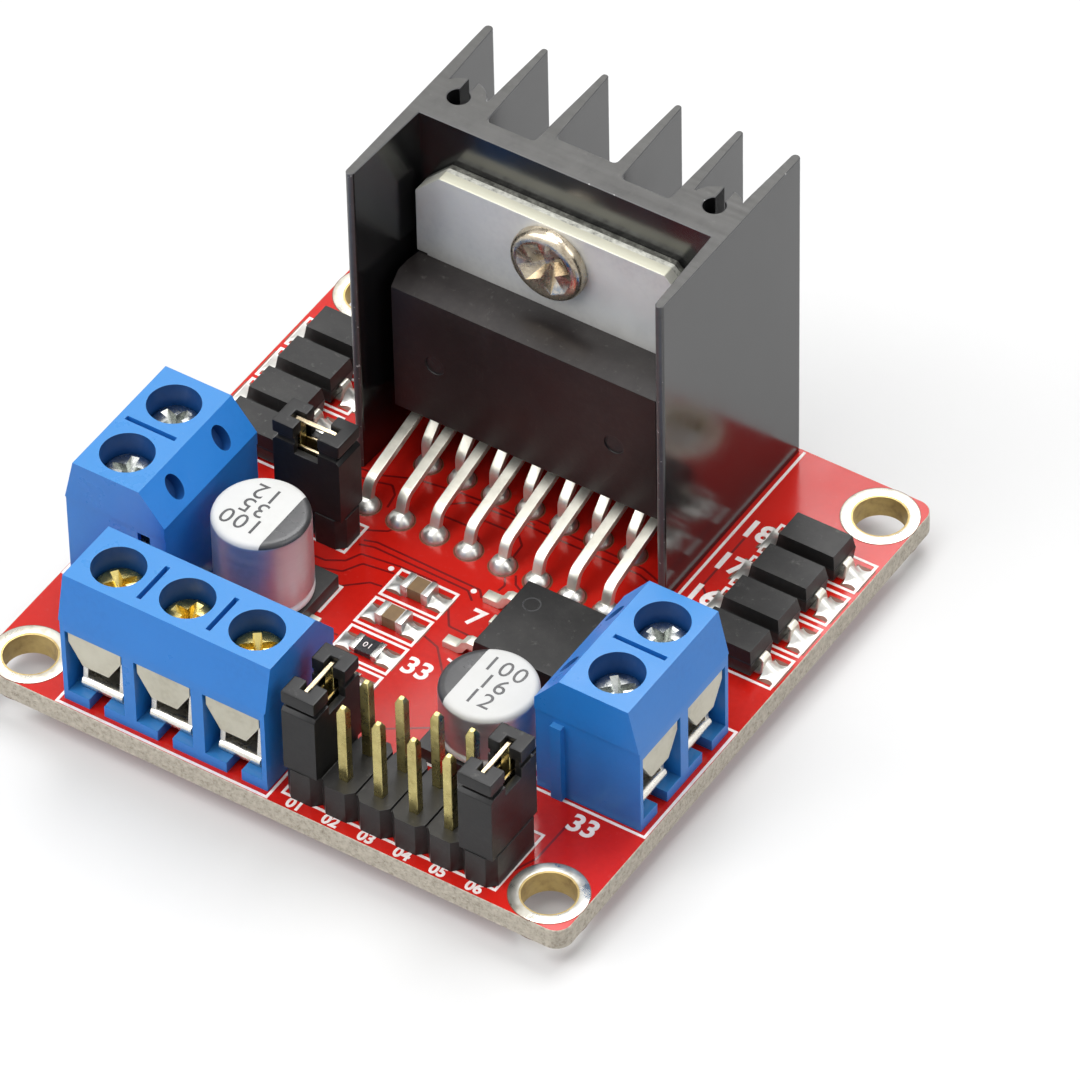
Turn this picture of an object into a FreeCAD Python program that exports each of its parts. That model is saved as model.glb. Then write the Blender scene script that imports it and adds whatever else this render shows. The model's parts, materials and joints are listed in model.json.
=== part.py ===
# Motor driver module: board, bolted power chip and heatsink, screw terminals, header with jumper caps.
# Millimetres. Origin: centre of the four mounting holes, on the board's underside. +Z up, +Y to the heatsink.
import FreeCAD, Part
import Sketcher
import math
import os
import re

Vector = FreeCAD.Vector
Rotation = FreeCAD.Rotation

SIZES = {
    # board and its four mounting holes
    "inner_half": 6.12,
    "can_gap": 0.78,
    "board_thickness": 1.6,
    "board_corner": 1.1,
    "mount_margin": 2.55,
    "mount_hole": 3.5,
    "tail_drop": 1.4,
    "solder_reach": 0.85,
    "terminal_solder_reach": 1.25,
    "sink_solder_reach": 1.9,
    "solder_drop": 0.95,
    "pin_hole_gap": 0.05,
    # heatsink extrusion
    "stack_x": 0.2,
    "sink_face_y": 12.5,
    "chip_side_gap": 0.6,
    "wall_seat": 0.9,
    "sink_height": 25.0,
    "channel_depth": 7.0,
    "fin_reach": 9.0,
    "plate_thickness": 1.5,
    "rib_thickness": 2.45,
    "wall_tip": 0.6,
    "wall_root": 0.85,
    "fin_tip": 0.46,
    "fin_root": 0.95,
    "inner_fin_x": 2.67,
    "fin_pitch": 4.45,
    "boss_setback": 2.2,
    "boss_y": 2.45,
    "boss_radius": 1.8,
    "boss_bore": 1.0,
    "boss_slot": 1.3,
    "sink_pin_gap": 0.04,
    "sink_pin_length": 8.0,
    # power chip
    "chip_width": 20.0,
    "chip_thickness": 5.0,
    "tab_thickness": 1.6,
    "tab_top": 21.8,
    "chip_height": 17.5,
    "plastic_height": 10.7,
    "chip_draft": 0.3,
    "tab_corner": 1.8,
    "tab_margin": 1.5,
    "tab_hole": 3.75,
    "tab_hole_drop": 2.8,
    "lead_plane": 3.2,
    "lead_pitch": 2.54,
    "lead_width": 0.7,
    "lead_thickness": 0.5,
    "lead_row_gap": 5.08,
    "rear_row_setback": 4.55,
    "lead_bend": 0.55,
    "front_knee": 3.2,
    "front_ankle": 2.15,
    "rear_knee": 3.3,
    "rear_ankle": 2.0,
    "bead_reach": 0.8,
    "bead_height": 0.7,
    # chip screw
    "screw_thread": 3.0,
    "screw_head": 5.5,
    "screw_head_height": 1.8,
    "screw_head_bevel": 0.5,
    # screw terminals, seen from their wire side
    "pole_pitch": 5.08,
    "terminal_depth": 7.5,
    "terminal_height": 10.0,
    "face_slope": 0.75,
    "face_drop": 3.25,
    "back_slope_y": 5.68,
    "back_drop": 2.25,
    "end_step": 0.1,
    "terminal_inset": 0.6,
    "power_first_pole_x": -12.67,
    "side_first_pole": 12.2,
    "well_y": 3.12,
    "well_radius": 1.75,
    "well_depth": 3.2,
    "shelf_thickness": 0.4,
    "entry_width": 4.2,
    "entry_lintel": 0.75,
    "front_wall": 0.6,
    "floor_thickness": 0.85,
    "cavity_end": 5.95,
    "tail_slot": 1.1,
    "marker_width": 0.55,
    "marker_length": 3.2,
    "marker_depth": 0.9,
    "probe_radius": 0.6,
    "groove_y": 5.35,
    "groove_width": 0.95,
    "groove_depth": 0.5,
    "groove_end": 0.45,
    "tongue_gap": 0.08,
    "contact_width": 1.9,
    "clamp_room": 1.55,
    "contact_thickness": 0.5,
    "flap_inset": 0.12,
    "flap_thickness": 0.4,
    "flap_width": 3.9,
    "flap_side": 0.8,
    "flap_gap": 0.1,
    "contact_end": 5.85,
    "contact_tail": 1.0,
    "cage_width": 3.1,
    "cage_depth": 4.0,
    "cage_wall": 0.38,
    "cage_floor": 0.5,
    "cage_roof": 0.8,
    "cage_gap": 0.1,
    "cage_rest": 0.05,
    "clamp_head_radius": 1.65,
    "clamp_head_height": 1.05,
    "clamp_head_lift": 0.05,
    "clamp_shank_radius": 1.1,
    "clamp_shank_gap": 0.05,
    "drive_width": 0.45,
    "drive_depth": 0.5,
    # pin headers and jumper caps
    "pin_pitch": 2.54,
    "pin_side": 0.64,
    "pin_above_block": 6.1,
    "block_height": 2.5,
    "block_notch": 0.55,
    "control_first_x": 2.17,
    "control_front": 2.17,
    "supply_first_x": -11.42,
    "supply_y": -0.2,
    "cap_length": 4.95,
    "cap_width": 2.42,
    "cap_height": 6.5,
    "cap_roof": 0.32,
    "cap_wall": 0.62,
    "cap_end_wall": 0.45,
    "cap_corner": 0.25,
    "cap_notch_length": 1.75,
    "cap_notch_depth": 1.05,
    "clip_gap": 0.05,
    "clip_thickness": 0.16,
    "clip_length": 3.8,
    "clip_rise": 0.6,
    "clip_web_length": 1.6,
    # can capacitors
    "can_radius": 3.15,
    "can_base_side": 6.6,
    "can_base_height": 1.1,
    "can_base_corner": 1.3,
    "can_neck": 0.22,
    "can_neck_level": 0.7,
    "can_rim": 0.3,
    "supply_can_y": -7.39,
    "supply_can_height": 7.7,
    "logic_can_gap": 0.93,
    "logic_can_y": -10.5,
    "logic_can_height": 5.4,
    "can_tab_width": 0.7,
    "can_tab_thickness": 0.2,
    "can_tab_reach": 4.0,
    # regulator
    "regulator_gap": 1.73,
    "regulator_y": -2.35,
    "regulator_length": 6.1,
    "regulator_width": 6.5,
    "regulator_height": 2.3,
    "regulator_tab_width": 5.3,
    "regulator_tab_reach": 1.0,
    "regulator_tab_start": 2.6,
    "regulator_plate": 0.5,
    "regulator_lead_pitch": 2.28,
    "regulator_lead_width": 0.76,
    "regulator_lead_reach": 2.55,
    "regulator_lead_level": 1.05,
    "regulator_stub": 0.6,
    # diodes
    "diode_edge": 3.95,
    "diode_first_y": 3.92,
    "diode_pitch": 3.24,
    "diode_length": 4.3,
    "diode_width": 2.6,
    "diode_height": 2.2,
    "diode_draft": 0.15,
    "diode_clearance": 0.2,
    "diode_lead_width": 1.45,
    "diode_lead_thickness": 0.18,
    "diode_lead_out": 0.3,
    "diode_lead_foot": 1.0,
    # small chip parts
    "chip_part_x": -1.55,
    "chip_part_first_y": -1.97,
    "chip_part_pitch": 2.87,
    "chip_part_length": 2.0,
    "chip_part_width": 1.25,
    "ceramic_height": 0.9,
    "resistor_height": 0.5,
    "end_cap_length": 0.42,
    "end_cap_proud": 0.04,
    "lamp_base_height": 0.4,
    "lamp_lens_height": 0.5,
    "lamp_lens_length": 1.1,
    # solder on the surface pads
    "pad_length": 1.1,
    "pad_edge": 0.06,
    "diode_pad_width": 1.9,
    "diode_fillet": 0.7,
    "chip_pad_width": 1.3,
    "chip_fillet": 0.45,
}

# sizes that follow from the ones above
DERIVED = {
    "board_side": "2 * (terminal_inset + terminal_depth + can_gap + can_base_side + inner_half)",
    "terminal_gap_half": "board_side / 2 - terminal_inset - terminal_depth",
    "mount_pitch": "board_side - 2 * mount_margin",
    "channel_half": "chip_width / 2 + chip_side_gap",
    "sink_width": "2 * (channel_half + wall_seat)",
    "outer_fin_x": "inner_fin_x + fin_pitch",
    "boss_x": "sink_width / 2 - boss_setback",
    "face_height": "terminal_height - face_drop",
    "back_height": "terminal_height - back_drop",
    "entry_top": "face_height - entry_lintel",
    "groove_top": "face_height - groove_end",
    "contact_level": "terminal_height - well_depth - shelf_thickness - clamp_room - cage_roof"
                     " - cage_gap - contact_thickness",
    "flap_shoulder": "entry_top - flap_gap - flap_side",
    "side_first_pole_y": "side_first_pole - board_side / 2",
    "control_front_y": "control_front - board_side / 2",
    "supply_can_x": "can_gap + can_base_side / 2 - terminal_gap_half",
    "logic_can_x": "terminal_gap_half - logic_can_gap - can_base_side / 2",
    "regulator_x": "terminal_gap_half - regulator_gap - regulator_length - regulator_tab_reach",
    "diode_x": "board_side / 2 - diode_edge",
}

doc = FreeCAD.newDocument("MotorDriverModule")
sheet = doc.addObject("Spreadsheet::Sheet", "Sizes")
for row, (alias, value) in enumerate(SIZES.items(), start=1):
    cell = "B%d" % row
    sheet.set("A%d" % row, alias.replace("_", " "))
    sheet.set(cell, str(value))
    sheet.setAlias(cell, alias)
doc.recompute()

ALIAS = re.compile(r"\b(" + "|".join(sorted(SIZES, key=len, reverse=True)) + r")\b")
FOLLOWS = re.compile(r"\b(" + "|".join(sorted(DERIVED, key=len, reverse=True)) + r")\b")
nodes = []


def bound(text):
    """The expression with each size named in the sheet."""
    while FOLLOWS.search(text):
        text = FOLLOWS.sub(lambda found: "(" + DERIVED[found.group(1)] + ")", text)
    return ALIAS.sub(r"Sizes.\1", text)


def number(text):
    """What an expression of sizes comes to, for geometry that holds plain numbers."""
    return float(sheet.evalExpression(bound(text)))


def tie(piece, prop, text):
    piece.setExpression(prop, bound(text))


def move(piece, place, turn=None):
    if turn is not None:
        piece.Placement = FreeCAD.Placement(Vector(0, 0, 0), turn)
    for axis, text in zip("xyz", place):
        tie(piece, "Placement.Base." + axis, text)
    return piece


def box(name, low, size):
    """A block from its low corner and its lengths along X, Y and Z."""
    piece = doc.addObject("Part::Box", name)
    for prop, text in zip(("Length", "Width", "Height"), size):
        tie(piece, prop, text)
    return move(piece, low)


def beam(name, middle, size):
    """A block centred on middle in X and Y and standing on its Z."""
    x, y, z = middle
    length, width, _ = size
    low = ("%s - (%s) / 2" % (x, length), "%s - (%s) / 2" % (y, width), z)
    return box(name, low, size)


TURNS = {
    "x": Rotation(Vector(0, 1, 0), 90),
    "y": Rotation(Vector(1, 0, 0), -90),
    "z": Rotation(),
}


def rod(name, radius, length, start, axis="z"):
    piece = doc.addObject("Part::Cylinder", name)
    tie(piece, "Radius", radius)
    tie(piece, "Height", length)
    return move(piece, start, TURNS[axis])


def prism(name, sides, reach, height, start):
    """A regular prism whose corners lie at reach from its axis."""
    piece = doc.addObject("Part::Prism", name)
    piece.Polygon = sides
    tie(piece, "Circumradius", reach)
    tie(piece, "Height", height)
    return move(piece, start)


def frustum(name, low_reach, high_reach, height, start):
    """A four-sided cone, standing on start, square to the board."""
    rings = []
    x, y, z = start
    eighth = Rotation(Vector(0, 0, 1), 45)
    for i, (reach, level) in enumerate(((low_reach, z), (high_reach, "%s + %s" % (z, height)))):
        ring = doc.addObject("Part::RegularPolygon", "%s_ring_%d" % (name, i))
        ring.Polygon = 4
        tie(ring, "Circumradius", reach)
        rings.append(move(ring, (x, y, level), eighth))
    piece = doc.addObject("Part::Loft", name)
    piece.Sections = rings
    piece.Solid = True
    piece.Ruled = True
    piece.Linearize = True
    return piece


def wedge(name, low, size, inset, turn=None):
    """A block whose face at the end of its Y is smaller by inset on each side."""
    piece = doc.addObject("Part::Wedge", name)
    length, width, height = size
    side, drop = inset
    for prop, text in (
        ("Xmin", "0"), ("Xmax", length), ("X2min", side), ("X2max", "%s - (%s)" % (length, side)),
        ("Ymin", "0"), ("Ymax", width),
        ("Zmin", "0"), ("Zmax", height), ("Z2min", drop), ("Z2max", "%s - (%s)" % (height, drop)),
    ):
        tie(piece, prop, text)
    return move(piece, low, turn)


def join(name, pieces):
    piece = doc.addObject("Part::MultiFuse", name)
    piece.Shapes = pieces
    piece.Refine = True
    return piece


def group(name, pieces):
    """Separate solids kept as one object."""
    piece = doc.addObject("Part::Compound", name)
    piece.Links = pieces
    return piece


def cut(name, base, tools):
    piece = doc.addObject("Part::Cut", name)
    piece.Base = base
    piece.Tool = tools[0] if len(tools) == 1 else join(name + "_tools", tools)
    return piece


PLANES = {
    "xy": Rotation(),
    "xz": Rotation(Vector(1, 0, 0), 90),
    "yz": Rotation(Vector(0, 1, 0), Vector(0, 0, 1), Vector(1, 0, 0), "ZXY"),
}


def outline(name, plane, points):
    """A closed sketch of straight lines, each corner held at its named place."""
    sketch = doc.addObject("Sketcher::SketchObject", name)
    sketch.Placement = FreeCAD.Placement(Vector(0, 0, 0), PLANES[plane])
    corners = [Vector(number(across), number(up), 0) for across, up in points]
    count = len(corners)
    sketch.addGeometry([Part.LineSegment(corners[i], corners[(i + 1) % count]) for i in range(count)], False)
    sketch.addConstraint([Sketcher.Constraint("Coincident", i, 2, (i + 1) % count, 1) for i in range(count)])
    for i, texts in enumerate(points):
        for kind, text in zip(("DistanceX", "DistanceY"), texts):
            held = sketch.addConstraint(Sketcher.Constraint(kind, -1, 1, i, 1, number(text)))
            sketch.setExpression("Constraints[%d]" % held, bound(text))
    return sketch


def slab(name, sketch, direction, length, start=("0", "0", "0")):
    """The sketch pushed along direction by length."""
    piece = doc.addObject("Part::Extrusion", name)
    piece.Base = sketch
    piece.DirMode = "Custom"
    piece.Dir = direction
    piece.Solid = True
    tie(piece, "LengthFwd", length)
    return move(piece, start)


def turned(name, sketch, start):
    """The sketch turned once round the Z axis."""
    piece = doc.addObject("Part::Revolution", name)
    piece.Source = sketch
    piece.Axis = Vector(0, 0, 1)
    piece.Base = Vector(0, 0, 0)
    piece.Angle = 360
    piece.Solid = True
    return move(piece, start)


def softened(name, base, radius, wanted, kind="Part::Fillet"):
    """The piece with the edges that wanted picks rounded."""
    doc.recompute()
    piece = doc.addObject(kind, name)
    piece.Base = base
    picked = [i for i, edge in enumerate(base.Shape.Edges, start=1) if wanted(edge)]
    piece.Edges = [(i, number(radius), number(radius)) for i in picked]
    return piece


def bevelled(name, base, size, wanted):
    return softened(name, base, size, wanted, "Part::Chamfer")


def upright(edge):
    box_of = edge.BoundBox
    return box_of.ZLength > max(box_of.XLength, box_of.YLength) * 10 and isinstance(edge.Curve, Part.Line)


def bent_strip(name, plane, points, bend, width, thickness, start):
    """Flat metal of one section along a bent path; each bend is a short straight, to keep facets few."""
    path = [Vector(number(across), number(up), 0) for across, up in points]
    radius = number(bend)
    edges = []
    here = path[0]
    for before, corner, after in zip(path, path[1:], path[2:]):
        come = (corner - before).normalize()
        go = (after - corner).normalize()
        half_turn = come.getAngle(go) / 2
        reach = radius * math.tan(half_turn)
        first = corner - come * reach
        last = corner + go * reach
        edges.append(Part.LineSegment(here, first).toShape())
        edges.append(Part.LineSegment(first, last).toShape())
        here = last
    edges.append(Part.LineSegment(here, path[-1]).toShape())
    spine = Part.Wire(edges)
    run = (path[1] - path[0]).normalize()
    side = Vector(-run.y, run.x, 0) * (number(thickness) / 2)
    across = Vector(0, 0, 1) * (number(width) / 2)
    ring = [path[0] + side + across, path[0] - side + across, path[0] - side - across,
            path[0] + side - across]
    section = Part.makePolygon(ring + ring[:1])
    solid = spine.makePipeShell([section], True, False, 1)
    solid.Placement = FreeCAD.Placement(Vector(0, 0, 0), PLANES[plane])
    piece = doc.addObject("Part::Feature", name)
    piece.Shape = solid
    for axis, text in zip("xyz", start):
        tie(piece, "Placement.Base." + axis, text)
    return piece


def node(name, piece):
    """Marks a finished sub-part: its label names its file."""
    piece.Label = name
    nodes.append(piece)
    return piece


TOP = "board_thickness"


def board():
    side = "board_side"
    plate = box("board_plate", ("-board_side / 2", "-board_side / 2", "0"), (side, side, TOP))
    plate = softened("board_rounded", plate, "board_corner", upright)
    holes = []
    for i, (x, y) in enumerate(mount_places()):
        holes.append(rod("mount_drill_%d" % i, "mount_hole / 2", TOP + " + 2", (x, y, "-1")))
    for i, (x, y, radius) in enumerate(pin_places()):
        holes.append(prism("pin_drill_%d" % i, 6, radius, TOP + " + 2", (x, y, "-1")))
    node("circuit_board", cut("board_drilled", plate, [group("board_drills", holes)]))


def mount_places():
    half = "mount_pitch / 2"
    return [(a + half, b + half) for a in ("-", "") for b in ("-", "")]


def heatsink():
    half = "sink_width / 2"
    front = "-channel_depth"
    wall_back = "fin_reach"
    points = [("0", "0"), ("channel_half", "0")]
    points += [(half + " - wall_tip", front), (half, front), (half, wall_back),
               (half + " - wall_tip", wall_back)]
    points += [(half + " - wall_root", "boss_y + boss_radius"), (half + " - wall_root", "plate_thickness")]
    for fin, inner_root in (("outer_fin_x", "plate_thickness"), ("inner_fin_x", "rib_thickness")):
        points += [
            (fin + " + fin_root / 2", "plate_thickness"),
            (fin + " + fin_tip / 2", "fin_reach"),
            (fin + " - fin_tip / 2", "fin_reach"),
            (fin + " - fin_root / 2", inner_root),
        ]
    points.append(("0", "rib_thickness"))
    web = slab("sink_half_profile", outline("sink_half_outline", "xy", points), Vector(0, 0, 1),
               "sink_height")
    boss = rod("sink_boss", "boss_radius", "sink_height", ("boss_x", "boss_y", "0"))
    gusset = box("sink_gusset", ("outer_fin_x", "plate_thickness", "0"),
                 ("boss_x - outer_fin_x", "boss_y + boss_bore * 0.8 - plate_thickness", "sink_height"))
    bore = rod("sink_channel", "boss_bore", "sink_height + 2", ("boss_x", "boss_y", "-1"))
    mouth = box("sink_channel_mouth", ("boss_x - boss_slot / 2", "boss_y", "-1"),
                ("boss_slot", "boss_radius + 1", "sink_height + 2"))
    trim = box("sink_boss_trim", (half, "0", "-1"),
               ("boss_radius", "boss_y + boss_radius + 1", "sink_height + 2"))
    right = cut("sink_right", join("sink_right_solid", [web, boss, gusset]), [bore, mouth, trim])
    left = doc.addObject("Part::Mirroring", "sink_left")
    left.Source = right
    left.Normal = Vector(1, 0, 0)
    both = join("sink_both", [right, left])
    tapping = rod("sink_tapping", "screw_thread / 2", "rib_thickness + 2",
                  ("0", "-1", "tab_top - tab_hole_drop"), "y")
    sink = cut("sink_cut", both, [tapping])
    node("heatsink", move(sink, ("stack_x", "sink_face_y", TOP)))
    pins = []
    for i, sign in enumerate(("-", "")):
        x = "stack_x " + ("- " if sign else "+ ") + "boss_x"
        y = "sink_face_y + boss_y"
        tall = TOP + " + tail_drop + sink_pin_length"
        pins.append(rod("sink_pin_%d" % i, "boss_bore - sink_pin_gap", tall, (x, y, "-tail_drop")))
    node("heatsink_pins", group("sink_pins", pins))


def chip():
    tab_back = "sink_face_y"
    tab_front = "sink_face_y - tab_thickness"
    front = "sink_face_y - chip_thickness"
    bottom = TOP + " + tab_top - chip_height"
    top = bottom + " + plastic_height"
    half = "chip_width / 2"
    tab_low = bottom + " + tab_margin"
    tab_sketch = outline("tab_outline", "xz", [
        ("tab_margin / 2 - chip_width / 2", tab_low),
        (half + " - tab_margin / 2", tab_low),
        (half + " - tab_margin / 2", top),
        (half, top),
        (half, TOP + " + tab_top - tab_corner"),
        (half + " - tab_corner", TOP + " + tab_top"),
        ("tab_corner - chip_width / 2", TOP + " + tab_top"),
        ("-chip_width / 2", TOP + " + tab_top - tab_corner"),
        ("-chip_width / 2", top),
        ("tab_margin / 2 - chip_width / 2", top),
    ])
    plate = slab("tab_plate", tab_sketch, Vector(0, -1, 0), "tab_thickness", ("stack_x", tab_back, "0"))
    hole = rod("tab_drill", "tab_hole / 2", "tab_thickness + 2",
               ("stack_x", tab_front + " - 1", TOP + " + tab_top - tab_hole_drop"), "y")
    tab = cut("tab_cut", plate, [hole])
    node("chip_tab", tab)

    lead_front = "sink_face_y - lead_plane - lead_thickness"
    lead_back = "sink_face_y - lead_plane + lead_thickness"
    low = ("stack_x - chip_width / 2", lead_front, bottom)
    band = box("chip_band", low, ("chip_width", "2 * lead_thickness", "plastic_height"))
    turn_back = Rotation(Vector(0, 0, 1), 180)
    face = wedge("chip_face", ("stack_x + chip_width / 2", lead_front, bottom),
                 ("chip_width", "chip_thickness - lead_plane - lead_thickness", "plastic_height"),
                 ("chip_draft", "chip_draft"), turn_back)
    rear = wedge("chip_rear", ("stack_x - chip_width / 2", lead_back, bottom),
                 ("chip_width", "lead_plane - lead_thickness - 0.15", "plastic_height"),
                 ("chip_draft", "chip_draft * 0.5"))
    seat = box("chip_tab_seat", ("stack_x - chip_width / 2 + tab_margin / 2", tab_front, tab_low),
               ("chip_width - tab_margin", "tab_thickness + 1", "plastic_height"))
    dimples = []
    for i, sign in enumerate(("-", "+")):
        x = "stack_x %s chip_width * 0.33" % sign
        dimples.append(rod("chip_dimple_%d" % i, "0.7", "1",
                           (x, front + " - 0.9", bottom + " + plastic_height * 0.48"), "y"))
    body = cut("chip_moulding", join("chip_blank", [band, face, rear]), [seat] + dimples)
    node("chip_body", body)

    rows = {
        "front": (8, "-lead_pitch * 3.5", [
            ("sink_face_y - lead_plane", bottom),
            ("sink_face_y - lead_plane", TOP + " + front_knee"),
            ("sink_face_y - rear_row_setback - lead_row_gap", TOP + " + front_ankle"),
            ("sink_face_y - rear_row_setback - lead_row_gap", "-tail_drop"),
        ]),
        "rear": (7, "-lead_pitch * 3", [
            ("sink_face_y - lead_plane", bottom),
            ("sink_face_y - lead_plane", TOP + " + rear_knee"),
            ("sink_face_y - rear_row_setback", TOP + " + rear_ankle"),
            ("sink_face_y - rear_row_setback", "-tail_drop"),
        ]),
    }
    for row, (count, first, path) in rows.items():
        leads = []
        for i in range(count):
            x = "stack_x %s + %d * lead_pitch" % (first.replace("-", "- "), i)
            leads.append(bent_strip("%s_lead_%d" % (row, i), "yz", path, "lead_bend", "lead_width",
                                    "lead_thickness", (x, "0", "0")))
        node("chip_%s_leads" % row, group("%s_leads" % row, leads))


def lead_places():
    places = []
    for count, first, back in ((8, "- lead_pitch * 3.5", " - lead_row_gap"), (7, "- lead_pitch * 3", "")):
        y = "sink_face_y - rear_row_setback" + back
        places += [("stack_x %s + %d * lead_pitch" % (first, i), y) for i in range(count)]
    return places


def chip_screw():
    z = TOP + " + tab_top - tab_hole_drop"
    seat = "sink_face_y - tab_thickness"
    head = rod("screw_head_disc", "screw_head / 2", "screw_head_height",
               ("stack_x", seat + " - screw_head_height", z), "y")
    front_rim = number(seat) - number("screw_head_height") / 2
    head = bevelled("screw_head_bevelled", head, "screw_head_bevel",
                    lambda edge: edge.BoundBox.YMax < front_rim and isinstance(edge.Curve, Part.Circle))
    shank = rod("screw_shank", "screw_thread / 2 - 0.02", "tab_thickness + rib_thickness",
                ("stack_x", seat, z), "y")
    front = seat + " - screw_head_height"
    slots = [
        box("screw_cross_a", ("stack_x - 1.3", front, z + " - 0.28"), ("2.6", "1.1", "0.56")),
        box("screw_cross_b", ("stack_x - 0.28", front, z + " - 1.3"), ("0.56", "1.1", "2.6")),
    ]
    node("chip_screw", cut("screw_cut", join("screw_blank", [head, shank]), slots))


TERMINALS = {
    "power": {"poles": 3, "turn": 0, "x": "power_first_pole_x", "y": "terminal_inset - board_side / 2"},
    "left": {"poles": 2, "turn": -90, "x": "terminal_inset - board_side / 2",
             "y": "side_first_pole_y + pole_pitch"},
    "right": {"poles": 2, "turn": 90, "x": "board_side / 2 - terminal_inset", "y": "side_first_pole_y"},
}


def seat_terminal(piece, terminal, pole=0):
    """Places a piece made about a pole at the terminal's front face."""
    along = {0: ("+", ""), 90: ("", "+"), -90: ("", "-")}[terminal["turn"]]
    x, y = terminal["x"], terminal["y"]
    if along[0]:
        x += " %s %d * pole_pitch" % (along[0], pole)
    if along[1]:
        y += " %s %d * pole_pitch" % (along[1], pole)
    return move(piece, (x, y, TOP), Rotation(Vector(0, 0, 1), terminal["turn"]))


def terminal_pin_places():
    places = []
    tail = "(contact_end - contact_thickness / 2)"
    for terminal in TERMINALS.values():
        for pole in range(terminal["poles"]):
            x, y = terminal["x"], terminal["y"]
            if terminal["turn"] == 0:
                places.append((x + " + %d * pole_pitch" % pole, y + " + " + tail))
            elif terminal["turn"] == 90:
                places.append((x + " - " + tail, y + " + %d * pole_pitch" % pole))
            else:
                places.append((x + " + " + tail, y + " - %d * pole_pitch" % pole))
    return places


def housing(name, terminal):
    poles = terminal["poles"]
    tag = name + "_"
    start = "-pole_pitch / 2"
    length = "%d * pole_pitch" % poles
    side = outline(tag + "side", "yz", [
        ("0", "0"), ("terminal_depth", "0"), ("terminal_depth", "back_height"),
        ("back_slope_y", "terminal_height"),
        ("face_slope", "terminal_height"), ("0", "face_height"),
    ])
    tools = []
    blank = slab(tag + "blank", side, Vector(1, 0, 0), length, (start, "0", "0"))
    end = "%s - pole_pitch / 2" % length
    lengthwise = "terminal_depth + 2"
    tools.append(box(tag + "step_low", (start + " - 1", "-1", "-1"),
                     ("1 + end_step", lengthwise, "face_height + 1")))
    tools.append(box(tag + "step_high", (end + " - end_step", "-1", "-1"),
                     ("1", lengthwise, "face_height + 1")))
    tools.append(box(tag + "groove", (start, "groove_y", "-1"),
                     ("groove_depth", "groove_width", "groove_top + 1")))
    tongue = box(tag + "tongue", (end + " - end_step", "groove_y + tongue_gap", "0"),
                 ("groove_depth - tongue_gap", "groove_width - 2 * tongue_gap", "groove_top - tongue_gap"))
    well_floor = "terminal_height - well_depth"
    for i in range(poles):
        x = "%d * pole_pitch" % i
        mark = "%s%d_" % (tag, i)
        tools.append(rod(mark + "well", "well_radius", "well_depth + 1", (x, "well_y", well_floor)))
        tools.append(prism(mark + "shank_hole", 8, "(clamp_shank_radius + clamp_shank_gap) / cos(22.5)",
                           "shelf_thickness + 0.2", (x, "well_y", well_floor + " - shelf_thickness - 0.1")))
        tools.append(beam(mark + "cavity", (x, "(front_wall + cavity_end) / 2", "floor_thickness"),
                          ("entry_width", "cavity_end - front_wall",
                           well_floor + " - shelf_thickness - floor_thickness")))
        tools.append(box(mark + "entry", (x + " - entry_width / 2", "-1", "floor_thickness"),
                         ("entry_width", "front_wall + 1.1", "entry_top - floor_thickness")))
        tools.append(box(mark + "tail_slot", (x + " - tail_slot / 2", "-1", "-1"),
                         ("tail_slot", "cavity_end + 1", "floor_thickness + 1.1")))
        tools.append(probe_hole(mark, x))
    for i in range(poles - 1):
        x = "(%d + 0.5) * pole_pitch" % i
        tools.append(beam("%smarker_%d" % (tag, i), (x, "well_y", "terminal_height - marker_depth"),
                          ("marker_width", "marker_length", "marker_depth + 1")))
    shell = join(tag + "shell", [cut(tag + "hollow", blank, tools), tongue])
    node(name + "_terminal_housing", seat_terminal(shell, terminal))


def probe_hole(mark, x):
    """The small round test hole in the sloping back."""
    rise = number("terminal_height - back_height")
    run = number("terminal_depth - back_slope_y")
    lean = math.degrees(math.atan2(run, rise))
    hole = prism(mark + "probe", 8, "probe_radius", "2", ("0", "0", "0"))
    turn = Rotation(Vector(1, 0, 0), lean - 90)
    return move(hole, (x, "(terminal_depth + back_slope_y) / 2 - 0.6",
                       "(terminal_height + back_height) / 2 - 0.6"), turn)


def contacts(name, terminal):
    pieces = []
    for i in range(terminal["poles"]):
        mark = "%s_contact_%d_" % (name, i)
        flap_top = "entry_top - flap_gap"
        flap = slab(mark + "flap", outline(mark + "flap_outline", "xz", [
            ("-contact_width / 2", "contact_level"), ("contact_width / 2", "contact_level"),
            ("flap_width / 2", "flap_shoulder"), ("flap_width / 2", flap_top),
            ("-flap_width / 2", flap_top), ("-flap_width / 2", "flap_shoulder"),
        ]), Vector(0, -1, 0), "flap_thickness", ("0", "flap_inset + flap_thickness", "0"))
        plate = box(mark + "plate", ("-contact_width / 2", "flap_inset", "contact_level"),
                    ("contact_width", "contact_end - flap_inset", "contact_thickness"))
        tail = box(mark + "tail", ("-contact_tail / 2", "contact_end - contact_thickness",
                                   "-board_thickness - tail_drop"),
                   ("contact_tail", "contact_thickness",
                    "board_thickness + tail_drop + contact_level + contact_thickness"))
        pieces.append(seat_terminal(join(mark + "strip", [flap, plate, tail]), terminal, i))
    node(name + "_terminal_contacts", group(name + "_contacts", pieces))


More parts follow.
